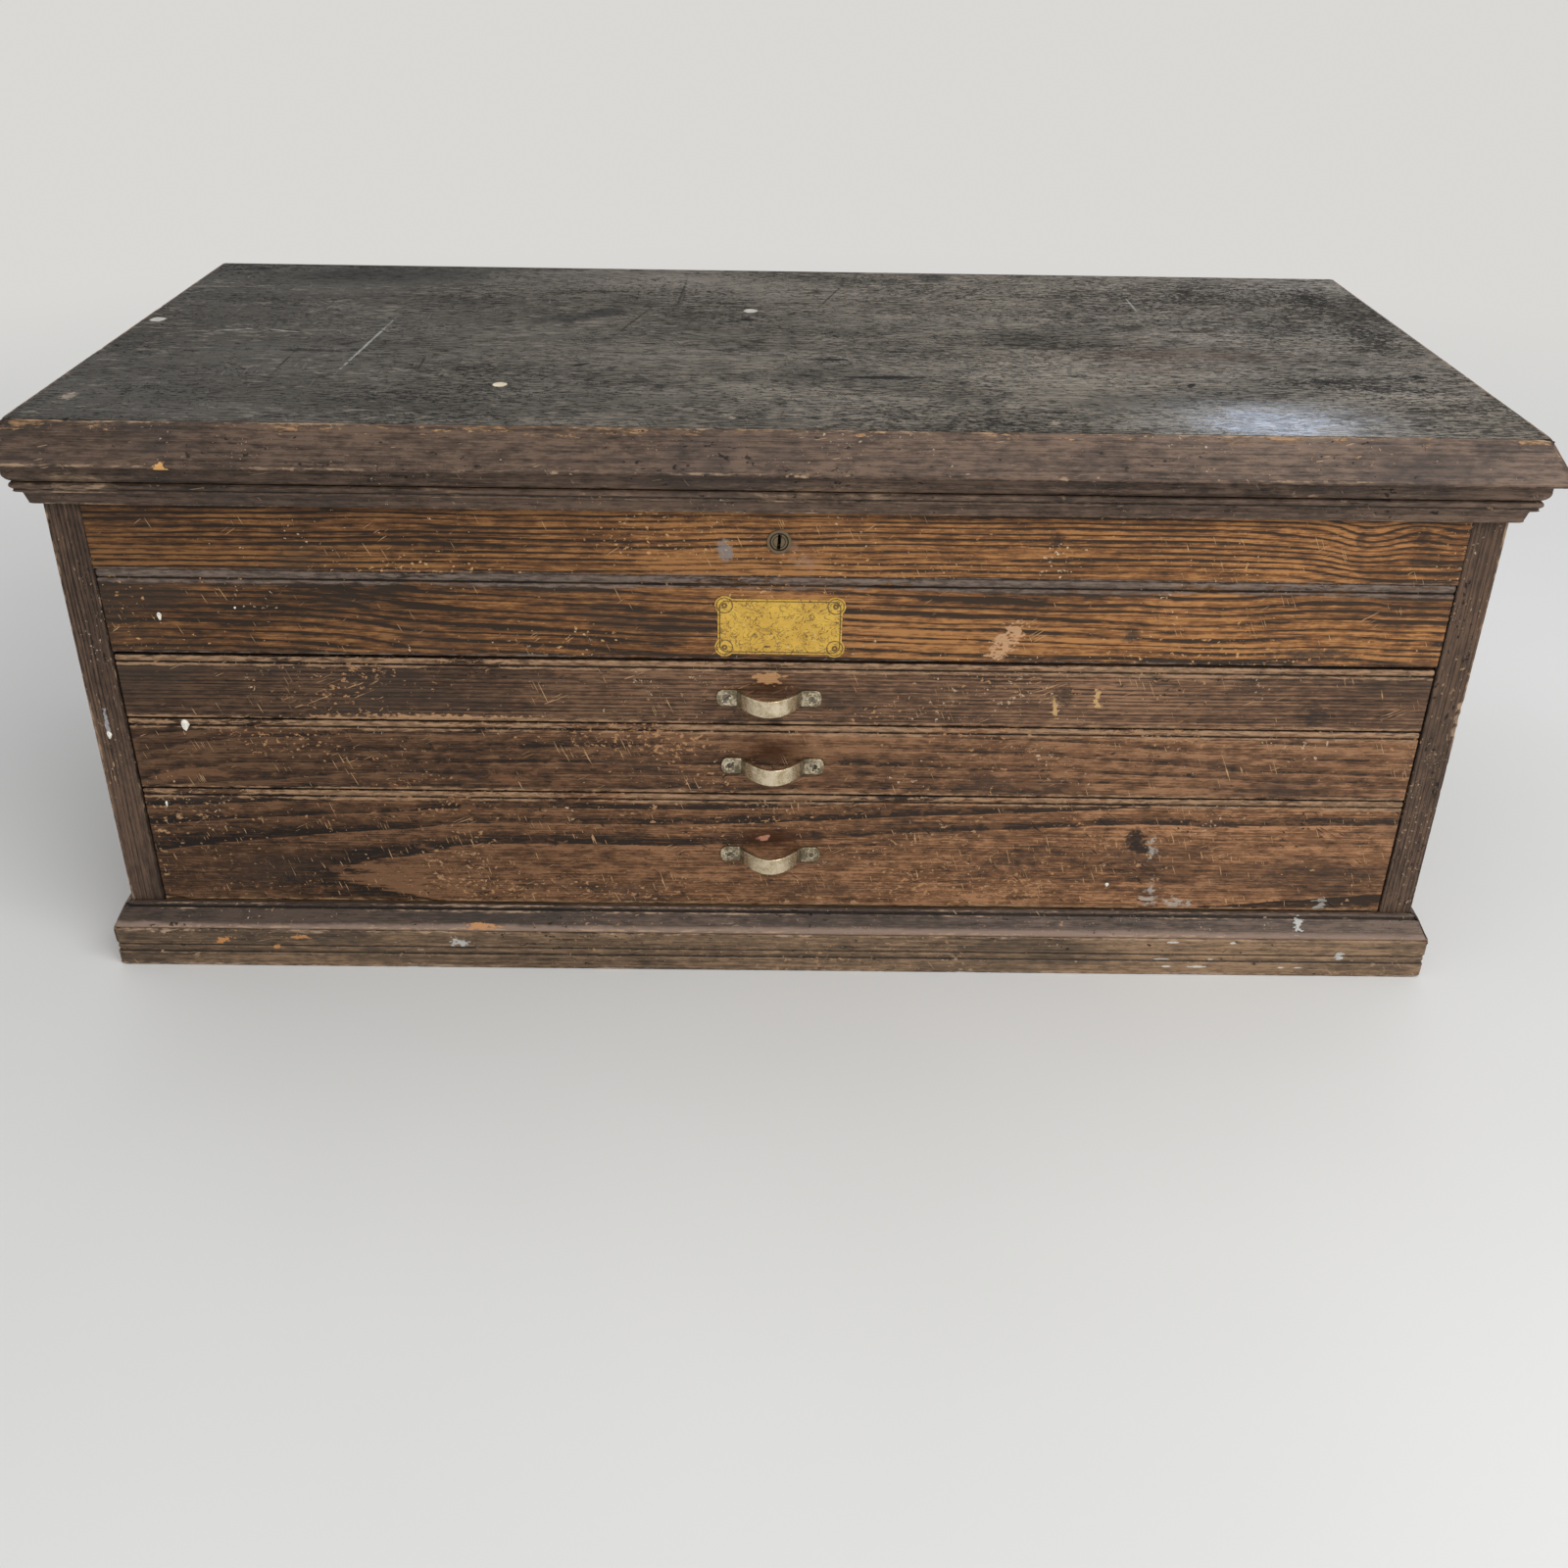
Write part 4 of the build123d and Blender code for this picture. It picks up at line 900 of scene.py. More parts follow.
# Sides and mouldings. A pair is the wood of the front run and that of the side runs
DARK_TONES = ((0.175, 0.114, 0.080), (0.096, 0.063, 0.045), (0.028, 0.020, 0.015))
BASE_TONES = ((0.32, 0.203, 0.117), (0.163, 0.105, 0.064), (0.042, 0.029, 0.020))
CAP_TONES = ((0.155, 0.107, 0.080), (0.078, 0.056, 0.044), (0.022, 0.017, 0.014))
side = Wood("side", "zyx", 6.0, ((0.130, 0.078, 0.050), (0.070, 0.043, 0.029), (0.022, 0.015, 0.011)), 3.0,
            line=0.6, mottle=1.4, lean=(0.3, 1.0))
mouldings = (
    Wood("moulding_front", "xzy", 7.0, DARK_TONES, 4.0, line=0.3, fibre=0.4, mottle=2.4, left_shade_and_dirt=0.70),
    Wood("moulding_side", "yzx", 8.0, DARK_TONES, 4.0, line=0.3, fibre=0.4, mottle=2.4),
)
bases = (
    Wood("base_front", "xzy", 9.0, BASE_TONES, 4.5, line=0.2, fibre=0.4, mottle=1.8, left_shade_and_dirt=0.75),
    Wood("base_side", "yzx", 10.0, BASE_TONES, 4.5, line=0.2, fibre=0.3, mottle=1.8),
)
caps = (
    Wood("cap_front", "xzy", 13.0, CAP_TONES, 4.5, line=0.15, fibre=0.25, mottle=1.6, rough=0.38, left_shade_and_dirt=0.5),
    Wood("cap_side", "yzx", 14.0, CAP_TONES, 4.5, line=0.15, fibre=0.15, mottle=1.2, rough=0.38),
)
side.grime_and_shade((0.036, 0.026, 0.020), 0.50, 0.68)
for wood in mouldings:
    wood.grime_and_shade((0.036, 0.031, 0.030), 0.49, 0.64, 0.5, scale=(9, 24, 24))
    wood.torn((0.42, 0.245, 0.125), lid_top - 0.0105, lid_top - 0.001, wood.across)
for wood in bases + caps:
    wood.grime_and_shade((0.040, 0.032, 0.026), 0.50)
# A paler band low on the cap's slope: partly worn colour, partly a painted highlight.
for wood in caps:
    wood.tint_and_sheen((0.30, 0.210, 0.160), -plinth_top - 0.0080, -plinth_top - 0.0015, wood.across * -1.0, 0.80)
for wood in bases:
    wood.flecks((0.42, 0.22, 0.10), 0.665)
for wood in (side, *mouldings, *bases, *caps):
    wood.flecks((0.36, 0.22, 0.12), 0.675, seed=2.8)
    wood.pale_specks((0.46, 0.36, 0.27), 0.715)
    wood.dark_specks((0.014, 0.010, 0.008), 0.67)
    wood.scratches((0.45, 0.32, 0.21), 0.765, 55)
    wood.scratches((0.38, 0.26, 0.16), 0.76, -10, seed=4.3)
for wood in (side, *mouldings):
    wood.edges((0.42, 0.285, 0.180), 0.30, 0.85, 0.8)
for wood in bases + caps:
    wood.edges((0.42, 0.285, 0.19), 0.25, 0.75)

CHALK = (0.50, 0.50, 0.47)
rim_face, base_face = case_front - 0.024, case_front - 0.010
side.marks([(189, front_mm, 11, 12)], (0.40, 0.39, 0.40), 0.75, rag=3.0, face=-0.4475, deep=1.6)
mouldings[0].marks([(-371, 374.6, 4.2, 3.0)], (0.62, 0.34, 0.12), rag=3.0, face=rim_face)
caps[0].marks([(-208, 34.6, 13, 2.4)], (0.50, 0.25, 0.11), rag=3.0, face=base_face)
caps[0].marks([(375, 41, 3.4, 5)], CHALK, 0.9, rag=4.0, face=base_face)
caps[0].marks([(-246, 49.5, 2.4, 1.2), (-240, 49.5, 2.6, 1.2)], (0.004, 0.004, 0.004), rag=1.0)
bases[0].marks([(-392, 22.5, 7, 3.0, 12), (-338, 25.5, 8, 1.8), (-355, 17, 2.5, 2.5)], (0.50, 0.23, 0.085),
               rag=3.0, face=base_face)
bases[0].marks([(-224, 22, 7, 3.2, -8), (407, 18, 3, 4)], CHALK, 0.9, rag=4.0, face=base_face)
bases[0].marks([
    (286, 28.6, 4.5, 0.9), (329, 28.6, 3, 0.9), (279, 13.8, 7, 0.8), (315, 13.8, 3, 0.7), (284, 7.6, 5, 0.9),
    (306, 7.6, 9, 1.0), (367, 7.6, 3, 0.8), (379, 7.6, 4, 0.6),
], (0.62, 0.61, 0.56), 0.95, rag=1.5, face=base_face)

# The lid's panel
lid = Wood("lid", "xyz", 11.0, ((0.262, 0.222, 0.168), (0.137, 0.115, 0.086), (0.020, 0.017, 0.012)), 6.0,
           figure=1.0, line=0.3, fibre=0.35, mottle=2.2, slow=0.8, left_shade_and_dirt=0.17, rough=0.52, face=lid_top)
lid.grime_and_shade((0.050, 0.044, 0.033), 0.50, 0.62, scale=(6, 11, 11))
lid.flecks((0.22, 0.19, 0.15), 0.56, scale=(70, 150, 150), seed=1.3, share=0.6, relief=0.2, soft=0.10)
lid.pits(0.535, (90, 560, 560), 6.3, 0.75)
lid.pits(0.565, (260, 430, 430), 8.3, 0.8)
lid.pits(0.625, (45, 110, 110), 9.3, 0.6)
lid.scratches((0.006, 0.005, 0.004), 0.70, 70, seed=7.3, scale=(40, 800, 800))
lid.scratches((0.20, 0.19, 0.17), 0.74, 85, seed=10.3, scale=(40, 800, 800), share=0.5)
lid.marks([(282, -33, 110, 30), (250, -70, 60, 12)], (0.135, 0.088, 0.064), 0.55, soft=1.0, rag=1.6)
lid.marks([(-130, 72, 24, 20, 30), (-158, 50, 30, 17, 20), (127, 207, 19, 22), (-320, 190, 110, 45)],
          (0.008, 0.007, 0.005), 0.85, soft=0.6, rag=1.4)
lid.marks([
    (70, -99, 32, 5, 3), (35, -56, 14, 4), (-24, 54, 9, 5), (85, -33, 12, 2.5), (-135, -78, 8, 3, 30),
    (272, -108, 3, 6, -30), (432, -80, 7, 6),
], (0.004, 0.003, 0.003), 0.95, soft=0.4, rag=1.2, rough=0.3)
lid.marks([(382, -92, 42, 9, 8), (395, -110, 38, 8, -10), (425, 150, 16, 30), (432, 20, 14, 40)],
          (0.004, 0.003, 0.003), 0.85, soft=0.3, rag=7.0, rough=0.3)
lid.marks([
    (-78, 141, 66, 1.3, 88), (39, 131, 58, 1.2, 75), (-109, 45, 60, 1.3, 77), (-334, -82, 38, 1.3, 90),
    (-242, -77, 30, 1.2, 93), (-350, 93, 15, 1.1, -50),
], (0.006, 0.005, 0.004), 0.7, soft=0.7, rag=2.4, rough=0.3)
lid.marks([
    (-289, -30, 82, 1.3, 87), (276, 119, 24, 1.2, 90), (-392, 3, 20, 1.3, 15), (-356, 2, 22, 1.3, -15),
], (0.36, 0.35, 0.31), 0.85, soft=0.5, rag=2.4)
lid.marks([(-456, 30, 6.5, 7), (-22.5, 82, 6, 7)], (0.62, 0.60, 0.54), 0.9, soft=0.3, rag=0.8)
lid.marks([(-182, -128.5, 5.2, 6)], (0.80, 0.70, 0.50), soft=0.2, rag=0.4)
lid.marks([(-30, -193, 3, 6, 20), (168, -196, 3, 6, -15), (-445, -168, 5, 9)], (0.34, 0.27, 0.20), 0.8,
          soft=0.5, rag=4.0)
lid.edges((0.30, 0.19, 0.11), 0.45, 0.90)
lid.polish(306, -200, 125, 90)

# Boards that are unstained wood, and the inner faces of the others
back = Wood("back", "xzy", 15.0, ((0.30, 0.185, 0.100), (0.185, 0.108, 0.058), (0.070, 0.040, 0.022)), 7.5,
            saw=True, line=0.55, fibre=0.5)
back.grime_and_shade((0.060, 0.042, 0.030), 0.48, share=0.7)
back.dark_specks((0.030, 0.020, 0.014), 0.66)
back.flecks((0.44, 0.29, 0.17), 0.70, seed=2.8)
back.scratches((0.42, 0.28, 0.17), 0.75, 50)
back.seams([case_top * share for share in (1 / 3, 2 / 3)])
INNER_TONES = ((0.50, 0.30, 0.150), (0.34, 0.185, 0.085), (0.14, 0.072, 0.034))
inner = Wood("inner", "xyz", 12.0, INNER_TONES, 7.0, fibre=0.5, line=0.6, mottle=0.8)
cross = Wood("cross", "yxz", 16.0, INNER_TONES, 6.0, fibre=0.5, line=0.5, mottle=0.8)
for wood in (inner, cross):
    wood.grime_and_shade((0.15, 0.090, 0.050), high=0.70)
    wood.dark_specks((0.07, 0.040, 0.022), 0.69)
lid.plain(lid.depth.smooth(lid_base + 0.003, lid_base + 0.0025))
lid.plain(lid.across.smooth(lid_edge - 0.0012, lid_edge - 0.0004), light=(0.140, 0.090, 0.058),
          dark=(0.050, 0.033, 0.023))
side.plain(side.depth.size().smooth(inner_half + 0.0009, inner_half + 0.0003)
           * side.across.smooth(case_front + 0.022, case_front + 0.023))
back.plain(back.depth.smooth(case_back - 0.0182, case_back - 0.0186))
drawer_woods = dict(zip(DRAWERS, (top_drawer, middle_drawer, bottom_drawer)))
fronts = {"lock_rail": lock_rail, "label_rail": label_rail}
fronts.update({f"{drawer}_drawer_front": wood for drawer, wood in drawer_woods.items()})
for node, wood in fronts.items():
    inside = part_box(node)[1].y
    wood.plain(wood.depth.smooth(inside - 0.0008, inside - 0.0004))

for wood in (*fronts.values(), side, *mouldings, *bases, back, inner, cross):
    wood.done()
for wood in caps:
    wood.done(0.0003)
lid.done(strength=0.7, gloss=0.32)


METAL_STAIN = (0.06, 0.045, 0.03)


def aged_metal(name, colour, seed, rough, pits, rings=()):
    """Metal with stains and small pits, and for a lock painted shade: near-black grooves of given radii round
    a near-black key slot.
    """
    metal = Finish(name)
    point, _ = metal.position()
    cloud = metal.noise(point, 90, seed, 4, 0.65)
    speck = metal.noise(point, 700, seed + 1)
    spots = (cloud * 0.6 + speck * 0.4).smooth(0.50, 0.62) * pits
    tone = metal.mix(spots, colour, METAL_STAIN)
    if rings:
        across = metal.vector("MULTIPLY", metal.vector("SUBTRACT", point, tuple(lock_centre)), (1, 0, 1))
        radius = Field(metal, metal.vector("LENGTH", across)) * (1 / MM)
        # Painted shade in the grooves between the lock's rings and plug.
        for at, half in rings:
            tone = metal.mix((radius - at).size().smooth(half, half * 0.4) * 0.9, tone, NEAR_BLACK)
        # Painted shade: the key slot near black.
        slot = metal.mark(point, tuple(lock_centre), (1.0 * MM, 1.0, 5.4 * MM)).smooth(0.0, 0.3)
        tone = metal.mix(slot, tone, (0.002, 0.002, 0.002))
    return metal.finish(tone, rough + spots * 0.3 + cloud * 0.1, speck * 0.6 - spots, Metallic=1.0)


def strap_metal():
    """Worn nickel over brass: pale on the bow, dark and dirty on the feet."""
    metal = Finish("nickelled_brass")
    point, _ = metal.position()
    cloud = metal.noise(point, 130, 20.0, 4, 0.7)
    speck = metal.noise(point, 800, 20.4)
    spots = (cloud * 0.6 + speck * 0.4).smooth(0.49, 0.62)
    tone = metal.mix(cloud.smooth(0.35, 0.65), (0.80, 0.69, 0.50), (0.62, 0.50, 0.32))
    dirt_and_shade = metal.attribute("grime_and_shade") * 0.8 + (cloud - 0.5) * 1.5 + (speck - 0.5) * 0.6
    dirt_and_shade = dirt_and_shade.smooth(0.35, 0.95) * 0.8
    tone = metal.mix(spots * 0.32, tone, (0.20, 0.16, 0.10))
    tone = metal.mix(dirt_and_shade, tone, (0.115, 0.095, 0.062))
    return metal.finish(tone, 0.27 + spots * 0.25 + dirt_and_shade * 0.2, speck * 0.6 - spots, Metallic=1.0)


def gold_paper():
    """The label's yellow, with dark cracks and rubbed spots."""
    film = Finish("label_film")
    point, _ = film.position("xzy")
    cloud = film.noise(point, (60, 90, 90), 23.0, 4, 0.65)
    cracks = film.noise(point, (120, 170, 170), 24.0, 3, 0.6, 1.2)
    crack = (cracks - 0.5).size().smooth(0.026, 0.0) * cloud.smooth(0.28, 0.44)
    lost = film.noise(point, (300, 380, 380), 27.0, 4, 0.7)
    lost = (lost + (cloud - 0.5) * 0.5).smooth(0.645, 0.68)
    specks = film.noise(point, (420, 480, 480), 26.0, 3, 0.7).smooth(0.70, 0.73)
    rubbed = film.noise(point, (260, 300, 300), 25.0, 4, 0.7).smooth(0.60, 0.66)
    tone = film.mix(cloud.smooth(0.38, 0.62), (0.66, 0.405, 0.055), (0.56, 0.325, 0.042))
    tone = film.mix(rubbed * 0.6, tone, (0.72, 0.52, 0.20))
    tone = film.mix(film.attribute("edge") * 0.85, tone, (0.085, 0.045, 0.013))
    tone = film.mix(crack.over(specks).over(lost) * 0.85, tone, (0.04, 0.024, 0.012))
    return film.finish(tone, 0.38 + cloud * 0.2, cloud * 0.5 - crack, 0.0003)


def dried_paint():
    """Old white paint, a little dirty."""
    skin = Finish("white_paint")
    point, _ = skin.position()
    cloud = skin.noise(point, 500, 40.0, 3)
    tone = skin.mix(cloud.smooth(0.40, 0.65), (0.88, 0.86, 0.77), (0.62, 0.57, 0.46))
    return skin.finish(tone, 0.5, cloud)


nickel = strap_metal()
steel = aged_metal("old_steel", (0.22, 0.19, 0.15), 21.0, 0.42, 0.8)
bronze = aged_metal("dark_bronze", (0.20, 0.15, 0.095), 22.0, 0.34, 0.7,
                    ((plug_radius + 0.15, 0.6), (plug_radius - 1.6, 0.35)))
label_gold = gold_paper()
white_paint = dried_paint()


def pull_path(step=0.8):
    """The middle line of a pull's strap, as evenly spaced (x, distance out), in millimetres."""
    half, bow, rise, base, fine = 34.6, 20.8, 17.2, 1.1, 0.25
    x = np.linspace(-half, half, round(2 * half / fine) + 1)
    swell = np.where(np.abs(x) < bow, 0.5 + 0.5 * np.cos(np.pi * x / bow), 0.0) ** 0.43
    points = np.stack((x, base + rise * swell), axis=1)
    run = np.concatenate(([0.0], np.cumsum(np.linalg.norm(np.diff(points, axis=0), axis=1))))
    stops = np.linspace(0.0, run[-1], round(run[-1] / step) + 1)
    return np.stack([np.interp(stops, run, column) for column in points.T], axis=1)


def strap_pull(node, screws, body):
    """A bent strap with a flat foot at each end, on two screws."""
    middle = sum(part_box(node), Vector()) / 2 / MM
    thick, half_height, corner = 2.2, 6.0, 4.0
    path = pull_path()
    section = outline([
        (-thick / 2, -half_height, 0.3, 0, 0), (thick / 2, -half_height, 0.7, 1, 0),
        (thick / 2, half_height, 0.7, 1, 0), (-thick / 2, half_height, 0.3, 0, 0),
    ], step=1.5, near=(0.6,))
    ahead = np.gradient(path, axis=0)
    ahead /= np.linalg.norm(ahead, axis=1, keepdims=True)
    vertices, edge, grime_and_shade = [], [], []
    for (x, out), (go_x, go_out) in zip(path, ahead):
        to_end = max(0.0, abs(path[0][0]) - abs(x))
        squeeze = 1.0
        if to_end < corner:
            squeeze = (half_height - corner + math.sqrt(corner ** 2 - (corner - to_end) ** 2)) / half_height
        waist = 1.0 - 0.10 * math.exp(-((abs(x) - 19.0) / 3.5) ** 2)
        for a, b, _, _, worn, _ in section:
            height = b * squeeze * waist
            place = Vector((middle.x + x - go_out * a, front_mm - out - go_x * a, middle.z + height))
            place.y += 0.12 * noise.noise(place * 0.35)
            vertices.append(place * MM)
            edge.append(worn)
            grime_and_shade.append(1.0 if abs(x) > 17 else 0.0)
    faces = bar_faces(len(path), len(section))
    made = piece(f"{node}_strap", vertices, faces, {"edge": edge, "grime_and_shade": grime_and_shade}, 50)
    first, last = (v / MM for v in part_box(screws))
    centre = (first + last) / 2
    half = (last.x - first.x) / 2 - 3.7
    head, shank, hole, sink, through = 3.75, 1.75, 2.0, 2.0, 8.0
    for x in (centre.x - half, centre.x + half):
        drill(made, Vector((x, front_mm - thick + sink / 2, centre.z)), shank, head, sink)
        drill(made, Vector((x, front_mm, centre.z)), hole, hole, through)
    dress(made, body, "nickelled_brass", nickel, node)


def tube_ring(vertices, faces, path, radius, twist=0.0, sides=8):
    """Add a closed round tube along a closed path of points on the label's face. twist makes it a rope."""
    faces += bands(len(path), sides, len(vertices), True)
    for k, here in enumerate(path):
        ahead = (path[(k + 1) % len(path)] - path[k - 1]).normalized()
        across = Vector((ahead.z, 0, -ahead.x))
        size = radius + twist * math.sin(k * math.tau / 3.0)
        for j in range(sides):
            turn = math.tau * j / sides
            out = Vector((0, -math.sin(turn) * size * 0.8, 0))
            vertices.append(here + across * (math.cos(turn) * size) + out)


CORNERS = ((1, 1), (-1, 1), (-1, -1), (1, -1))


def corner_arcs(half_width, half_height, radius, first, turn, steps):
    """A closed outline made of an arc in each corner of a rectangle. The angles are in degrees."""
    points = []
    for index, (sx, sz) in enumerate(CORNERS):
        x, z = sx * (half_width - radius), sz * (half_height - radius)
        for k in range(steps + 1):
            angle = math.radians(90 * index + first + turn * k / steps)
            points.append((x + radius * math.cos(angle), z + radius * math.sin(angle)))
    return points


def label(node, material):
    """A thin bare label with a rope border and a round boss in each corner."""
    low, high = (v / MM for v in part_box(node))
    middle, (half_w, _, half_h) = (low + high) / 2, (high - low) / 2
    lobe, thick, inset, ring = 6.5, 0.28, 3.4, 4.6
    face_y = front_mm - thick
    shaped = []
    for x, z in corner_arcs(half_w, half_h, lobe, -46, 182, 24):
        nibble = 0.12 + 0.25 * noise.noise(Vector((x, z, 3)) * 0.9)
        shrink = 1 - nibble / math.hypot(x, z)
        shaped.append((middle.x + x * shrink, middle.z + z * shrink))
    count = len(shaped)
    vertices = [Vector((x, y, z)) for y in (front_mm, face_y) for x, z in shaped]
    faces = bar_faces(2, count)
    border = corner_arcs(half_w - inset, half_h - inset, ring, 0, 90, 16)
    border = [Vector((middle.x + x, face_y, middle.z + z)) for x, z in border]
    rope = []
    for here, there in zip(border, border[1:] + border[:1]):
        parts = max(1, round((there - here).length / 0.4))
        rope += [here.lerp(there, j / parts) for j in range(parts)]
    tube_ring(vertices, faces, rope, 0.36, 0.11)
    turns = [math.tau * k / 32 for k in range(32)]
    for sx, sz in CORNERS:
        x, z = middle.x + sx * (half_w - lobe), middle.z + sz * (half_h - lobe)
        for radius, tube in ((5.2, 0.32), (1.3, 0.6)):
            path = [Vector((x + radius * math.cos(t), face_y, z + radius * math.sin(t))) for t in turns]
            tube_ring(vertices, faces, path, tube)
    raised = [0.0] * (2 * count) + [1.0] * (len(vertices) - 2 * count)
    made = piece(f"{node}_relief", [v * MM for v in vertices], faces, {"edge": raised}, 60)
    dress(made, "case", "label_film", material, node)


def paint_drop(name, body, x, z, half_x, half_z, run, seed, height=0.5, sunk=0.0):
    """A dried drop of paint: a low lump, longer below by run, on a surface that faces the front."""
    out, segments = front_mm + sunk, 26
    vertices = [Vector((x, out + 0.3, z))]
    for ring, rise in ((1.0, 0.0), (0.93, 0.45), (0.72, 0.85), (0.42, 1.0)):
        for k in range(segments):
            angle = math.tau * k / segments
            ragged = 1 + 0.22 * noise.noise(Vector((math.cos(angle), math.sin(angle), seed)) * 1.7)
            down = run if math.sin(angle) < 0 else 0.0
            dx = half_x * ring * ragged * math.cos(angle) * (1 - 0.35 * (down > 0) * abs(math.sin(angle)))
            dz = (half_z + down) * ring * ragged * math.sin(angle)
            vertices.append(Vector((x + dx, out - height * rise + (0.15 if ring == 1.0 else 0), z + dz)))
    vertices.append(Vector((x, out - height, z)))
    faces = bands(4, segments, 1)
    last, top = 1 + 3 * segments, len(vertices) - 1
    for k in range(segments):
        n = (k + 1) % segments
        faces += [(0, 1 + n, 1 + k), (last + k, last + n, top)]
    made = piece(name, [v * MM for v in vertices], faces, {}, 70)
    dress(made, body, "dark_wood", white_paint)


# Wooden pieces
moulding("plinth", "case", plinth_section(), bases, 2.4, 1.6)
moulding("base_cap", "case", cap_section(), caps, 1.6, 1.2)
moulding("cornice", "case", cornice_section(), mouldings, 1.2, 0.8)
moulding("lid_rim", "lid", rim_section(), mouldings, 2.2, 1.6)
moulding("lid_skirt", "lid", skirt_section(), mouldings, 1.2, 0.8)
side_board("side_right", side, 1)
side_board("side_left", side, -1)
plain_rail("lock_rail", "case", lock_rail, 0.8)
beaded_board("label_rail", "case", label_rail, 1.0, 1.6)
for drawer, wood in drawer_woods.items():
    beaded_board(f"{drawer}_drawer_front", f"{drawer}_drawer", wood, 1.5)

RUN_SIDEWAYS = ("_back", "_bottom", "till_long_walls", "bottom_board", "well_floor")
RUN_BACKWARDS = ("_sides", "_runners_left", "_runners_right", "till_ends", "till_dividers", "till_rails",
                 "lid_battens")
for wood, endings in ((inner, RUN_SIDEWAYS), (cross, RUN_BACKWARDS)):
    paint(wood.material, *(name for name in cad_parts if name.endswith(endings)))
paint(back.material, "back_boards")
paint(lid.material, "lid_panel", bevel=0.3)
for drawer in DRAWERS:
    strap_pull(f"{drawer}_drawer_pull", f"{drawer}_pull_screws", f"{drawer}_drawer")
    paint(steel, f"{drawer}_pull_screws", bevel=0.15)
paint(steel, "case_screws", "lid_screws", "hinge_case_leaves", "hinge_lid_leaves", "hinge_pins", "lock_case",
      "lock_bolt", "lock_link_plate", bevel=0.2)
paint(bronze, "lock_barrel", "lock_plug", bevel=0.3)
label("label_plate", label_gold)
for name, *drop in (
    ("rail", "case", -398.5, 268, 1.6, 2.0, 1.6, 1),
    ("rail_small", "case", -349, 274, 0.8, 0.8, 0.2, 2, 0.3),
    ("middle", "middle_drawer", -395.5, 188.6, 2.9, 3.6, 1.2, 3, 0.8, 0.3),
    ("bottom", "bottom_drawer", -418.5, 127.5, 0.8, 2.0, 1.0, 4),
    ("side", "case", -447.5, 180.5, 1.7, 2.2, 1.2, 5),
    ("low", "bottom_drawer", 236, 69, 1.5, 1.5, 0.2, 6),
):
    paint_drop(f"paint_drop_{name}", *drop)


def light(name, place, target, size, power, colour=(1, 1, 1)):
    """A soft rectangular lamp that faces a target."""
    lamp = bpy.data.lights.new(name, "AREA")
    lamp.shape = "RECTANGLE"
    lamp.size, lamp.size_y = size
    lamp.energy = power
    lamp.color = colour
    made = placed(name, lamp)
    made.location = place
    made.rotation_euler = (Vector(target) - Vector(place)).to_track_quat("-Z", "Y").to_euler()


BACKDROP = (0.70, 0.69, 0.67, 1.0)
AMBIENT = (0.68, 0.685, 0.70, 1.0)


def seen_directly(tree):
    """1 for rays from the camera and for reflected and refracted rays, else 0."""
    path = tree.nodes.new("ShaderNodeLightPath")
    last = path.outputs["Is Camera Ray"]
    for name in ("Is Glossy Ray", "Is Transmission Ray"):
        node = tree.nodes.new("ShaderNodeMath")
        node.operation = "MAXIMUM"
        tree.links.new(last, node.inputs[0])
        tree.links.new(path.outputs[name], node.inputs[1])
        last = node.outputs[0]
    return last


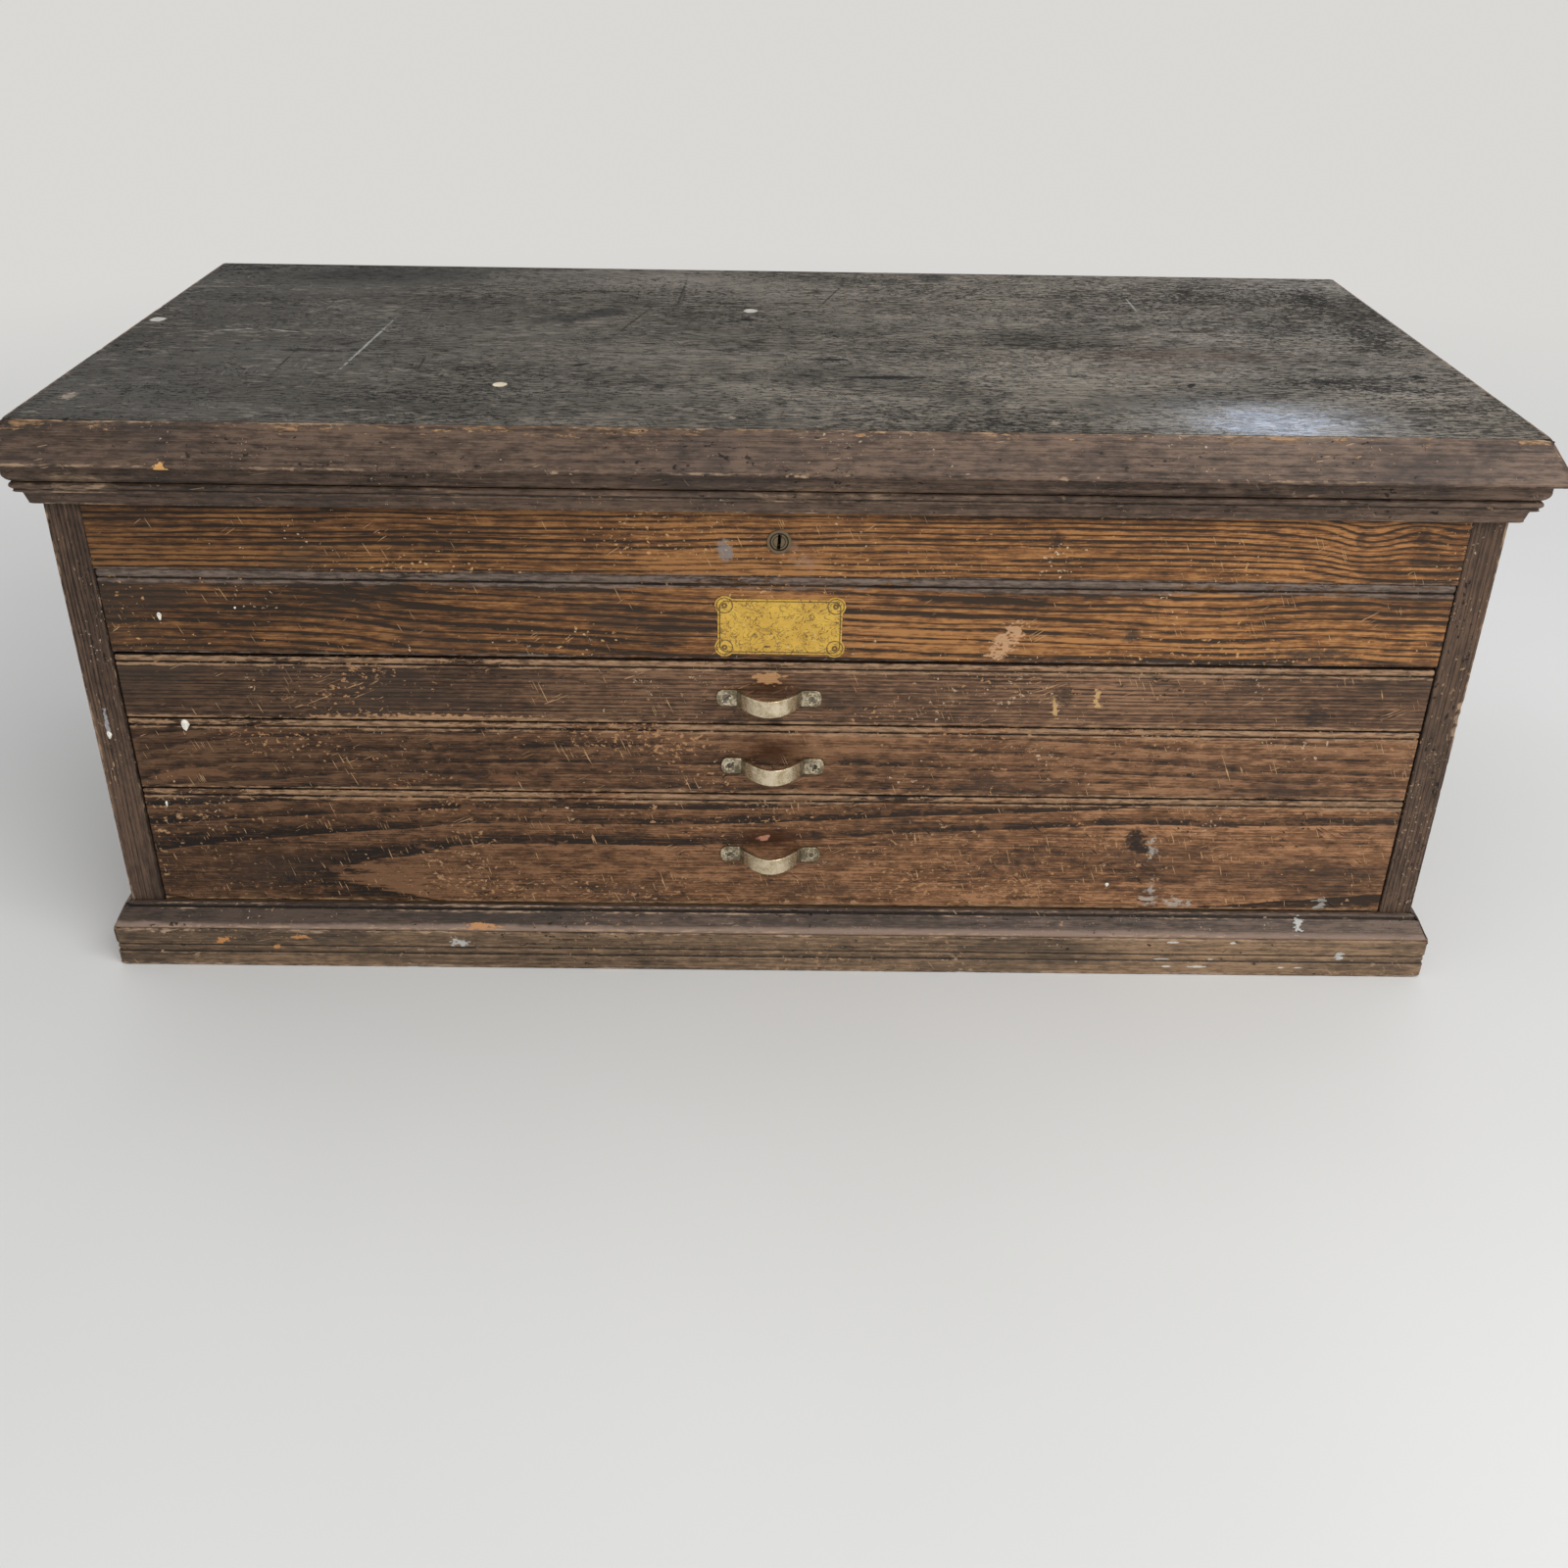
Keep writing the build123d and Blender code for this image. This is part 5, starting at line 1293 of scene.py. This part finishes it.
def floor_material():
    """A pale floor that runs into the backdrop's colour far from the chest."""
    pale = Finish("pale_floor")
    point, _ = pale.position()
    cloud = pale.noise(point, 2, 30.0, 3)
    tone = pale.mix(cloud.smooth(0.3, 0.7), (0.71, 0.71, 0.69), (0.74, 0.74, 0.722))
    material = pale.finish(tone, 0.6, Specular_IOR_Level=0.3)
    far = Field(pale, pale.vector("LENGTH", point)).smooth(1.0, 2.4)
    glow = pale.add("ShaderNodeEmission", {"Color": BACKDROP})
    share = far * seen_directly(material.node_tree)
    blend = pale.add("ShaderNodeMixShader", {0: share, 1: pale.shader.outputs[0], 2: glow.outputs[0]})
    pale.feed(pale.output.inputs["Surface"], blend.outputs[0])
    return material


def studio():
    """A pale floor, a pale surround and soft lamps."""
    reach = 30.0
    sheet = bpy.data.meshes.new("floor")
    sheet.from_pydata([(sx * reach, sy * reach, 0) for sx, sy in CORNERS], [], [(0, 1, 2, 3)])
    sheet.materials.append(floor_material())
    ground = placed("floor", sheet)
    world = bpy.data.worlds.new("surround")
    bpy.context.scene.world = world
    world.use_nodes = True
    tree = world.node_tree
    tone = tree.nodes.new("ShaderNodeMix")
    tone.data_type = "RGBA"
    tone.inputs["A"].default_value = AMBIENT
    tone.inputs["B"].default_value = BACKDROP
    tree.links.new(seen_directly(tree), tone.inputs["Factor"])
    tree.links.new(tone.outputs["Result"], tree.nodes["Background"].inputs["Color"])
    light("key", (1.35, -1.65, 2.0), (0.15, -0.1, 0.15), (1.9, 1.3), 40)
    light("window", (0.99, 1.87, 1.05), (0.30, -0.20, 0.40), (0.44, 0.18), 0.95, (0.54, 0.70, 1.0))


def photo_camera():
    """The camera where the photograph was taken."""
    lens = bpy.data.cameras.new("camera")
    lens.sensor_width = SENSOR_WIDTH
    lens.lens = FOCAL_PIXELS / IMAGE_PIXELS * SENSOR_WIDTH
    pitch, yaw, roll = (math.radians(v) for v in (CAMERA_PITCH, CAMERA_YAW, CAMERA_ROLL))
    ahead = Vector((math.sin(yaw) * math.cos(pitch), math.cos(yaw) * math.cos(pitch), -math.sin(pitch)))
    level = Vector((math.cos(yaw), -math.sin(yaw), 0))
    down = ahead.cross(level)
    right = level * math.cos(roll) + down * math.sin(roll)
    up = level * math.sin(roll) - down * math.cos(roll)
    turn = Matrix((right, up, -ahead)).transposed()
    made = placed("camera", lens)
    made.matrix_world = Matrix.Translation(CAMERA_PLACE) @ turn.to_4x4()
    bpy.context.scene.camera = made


studio()
photo_camera()
bpy.context.scene.view_settings.view_transform = "Standard"
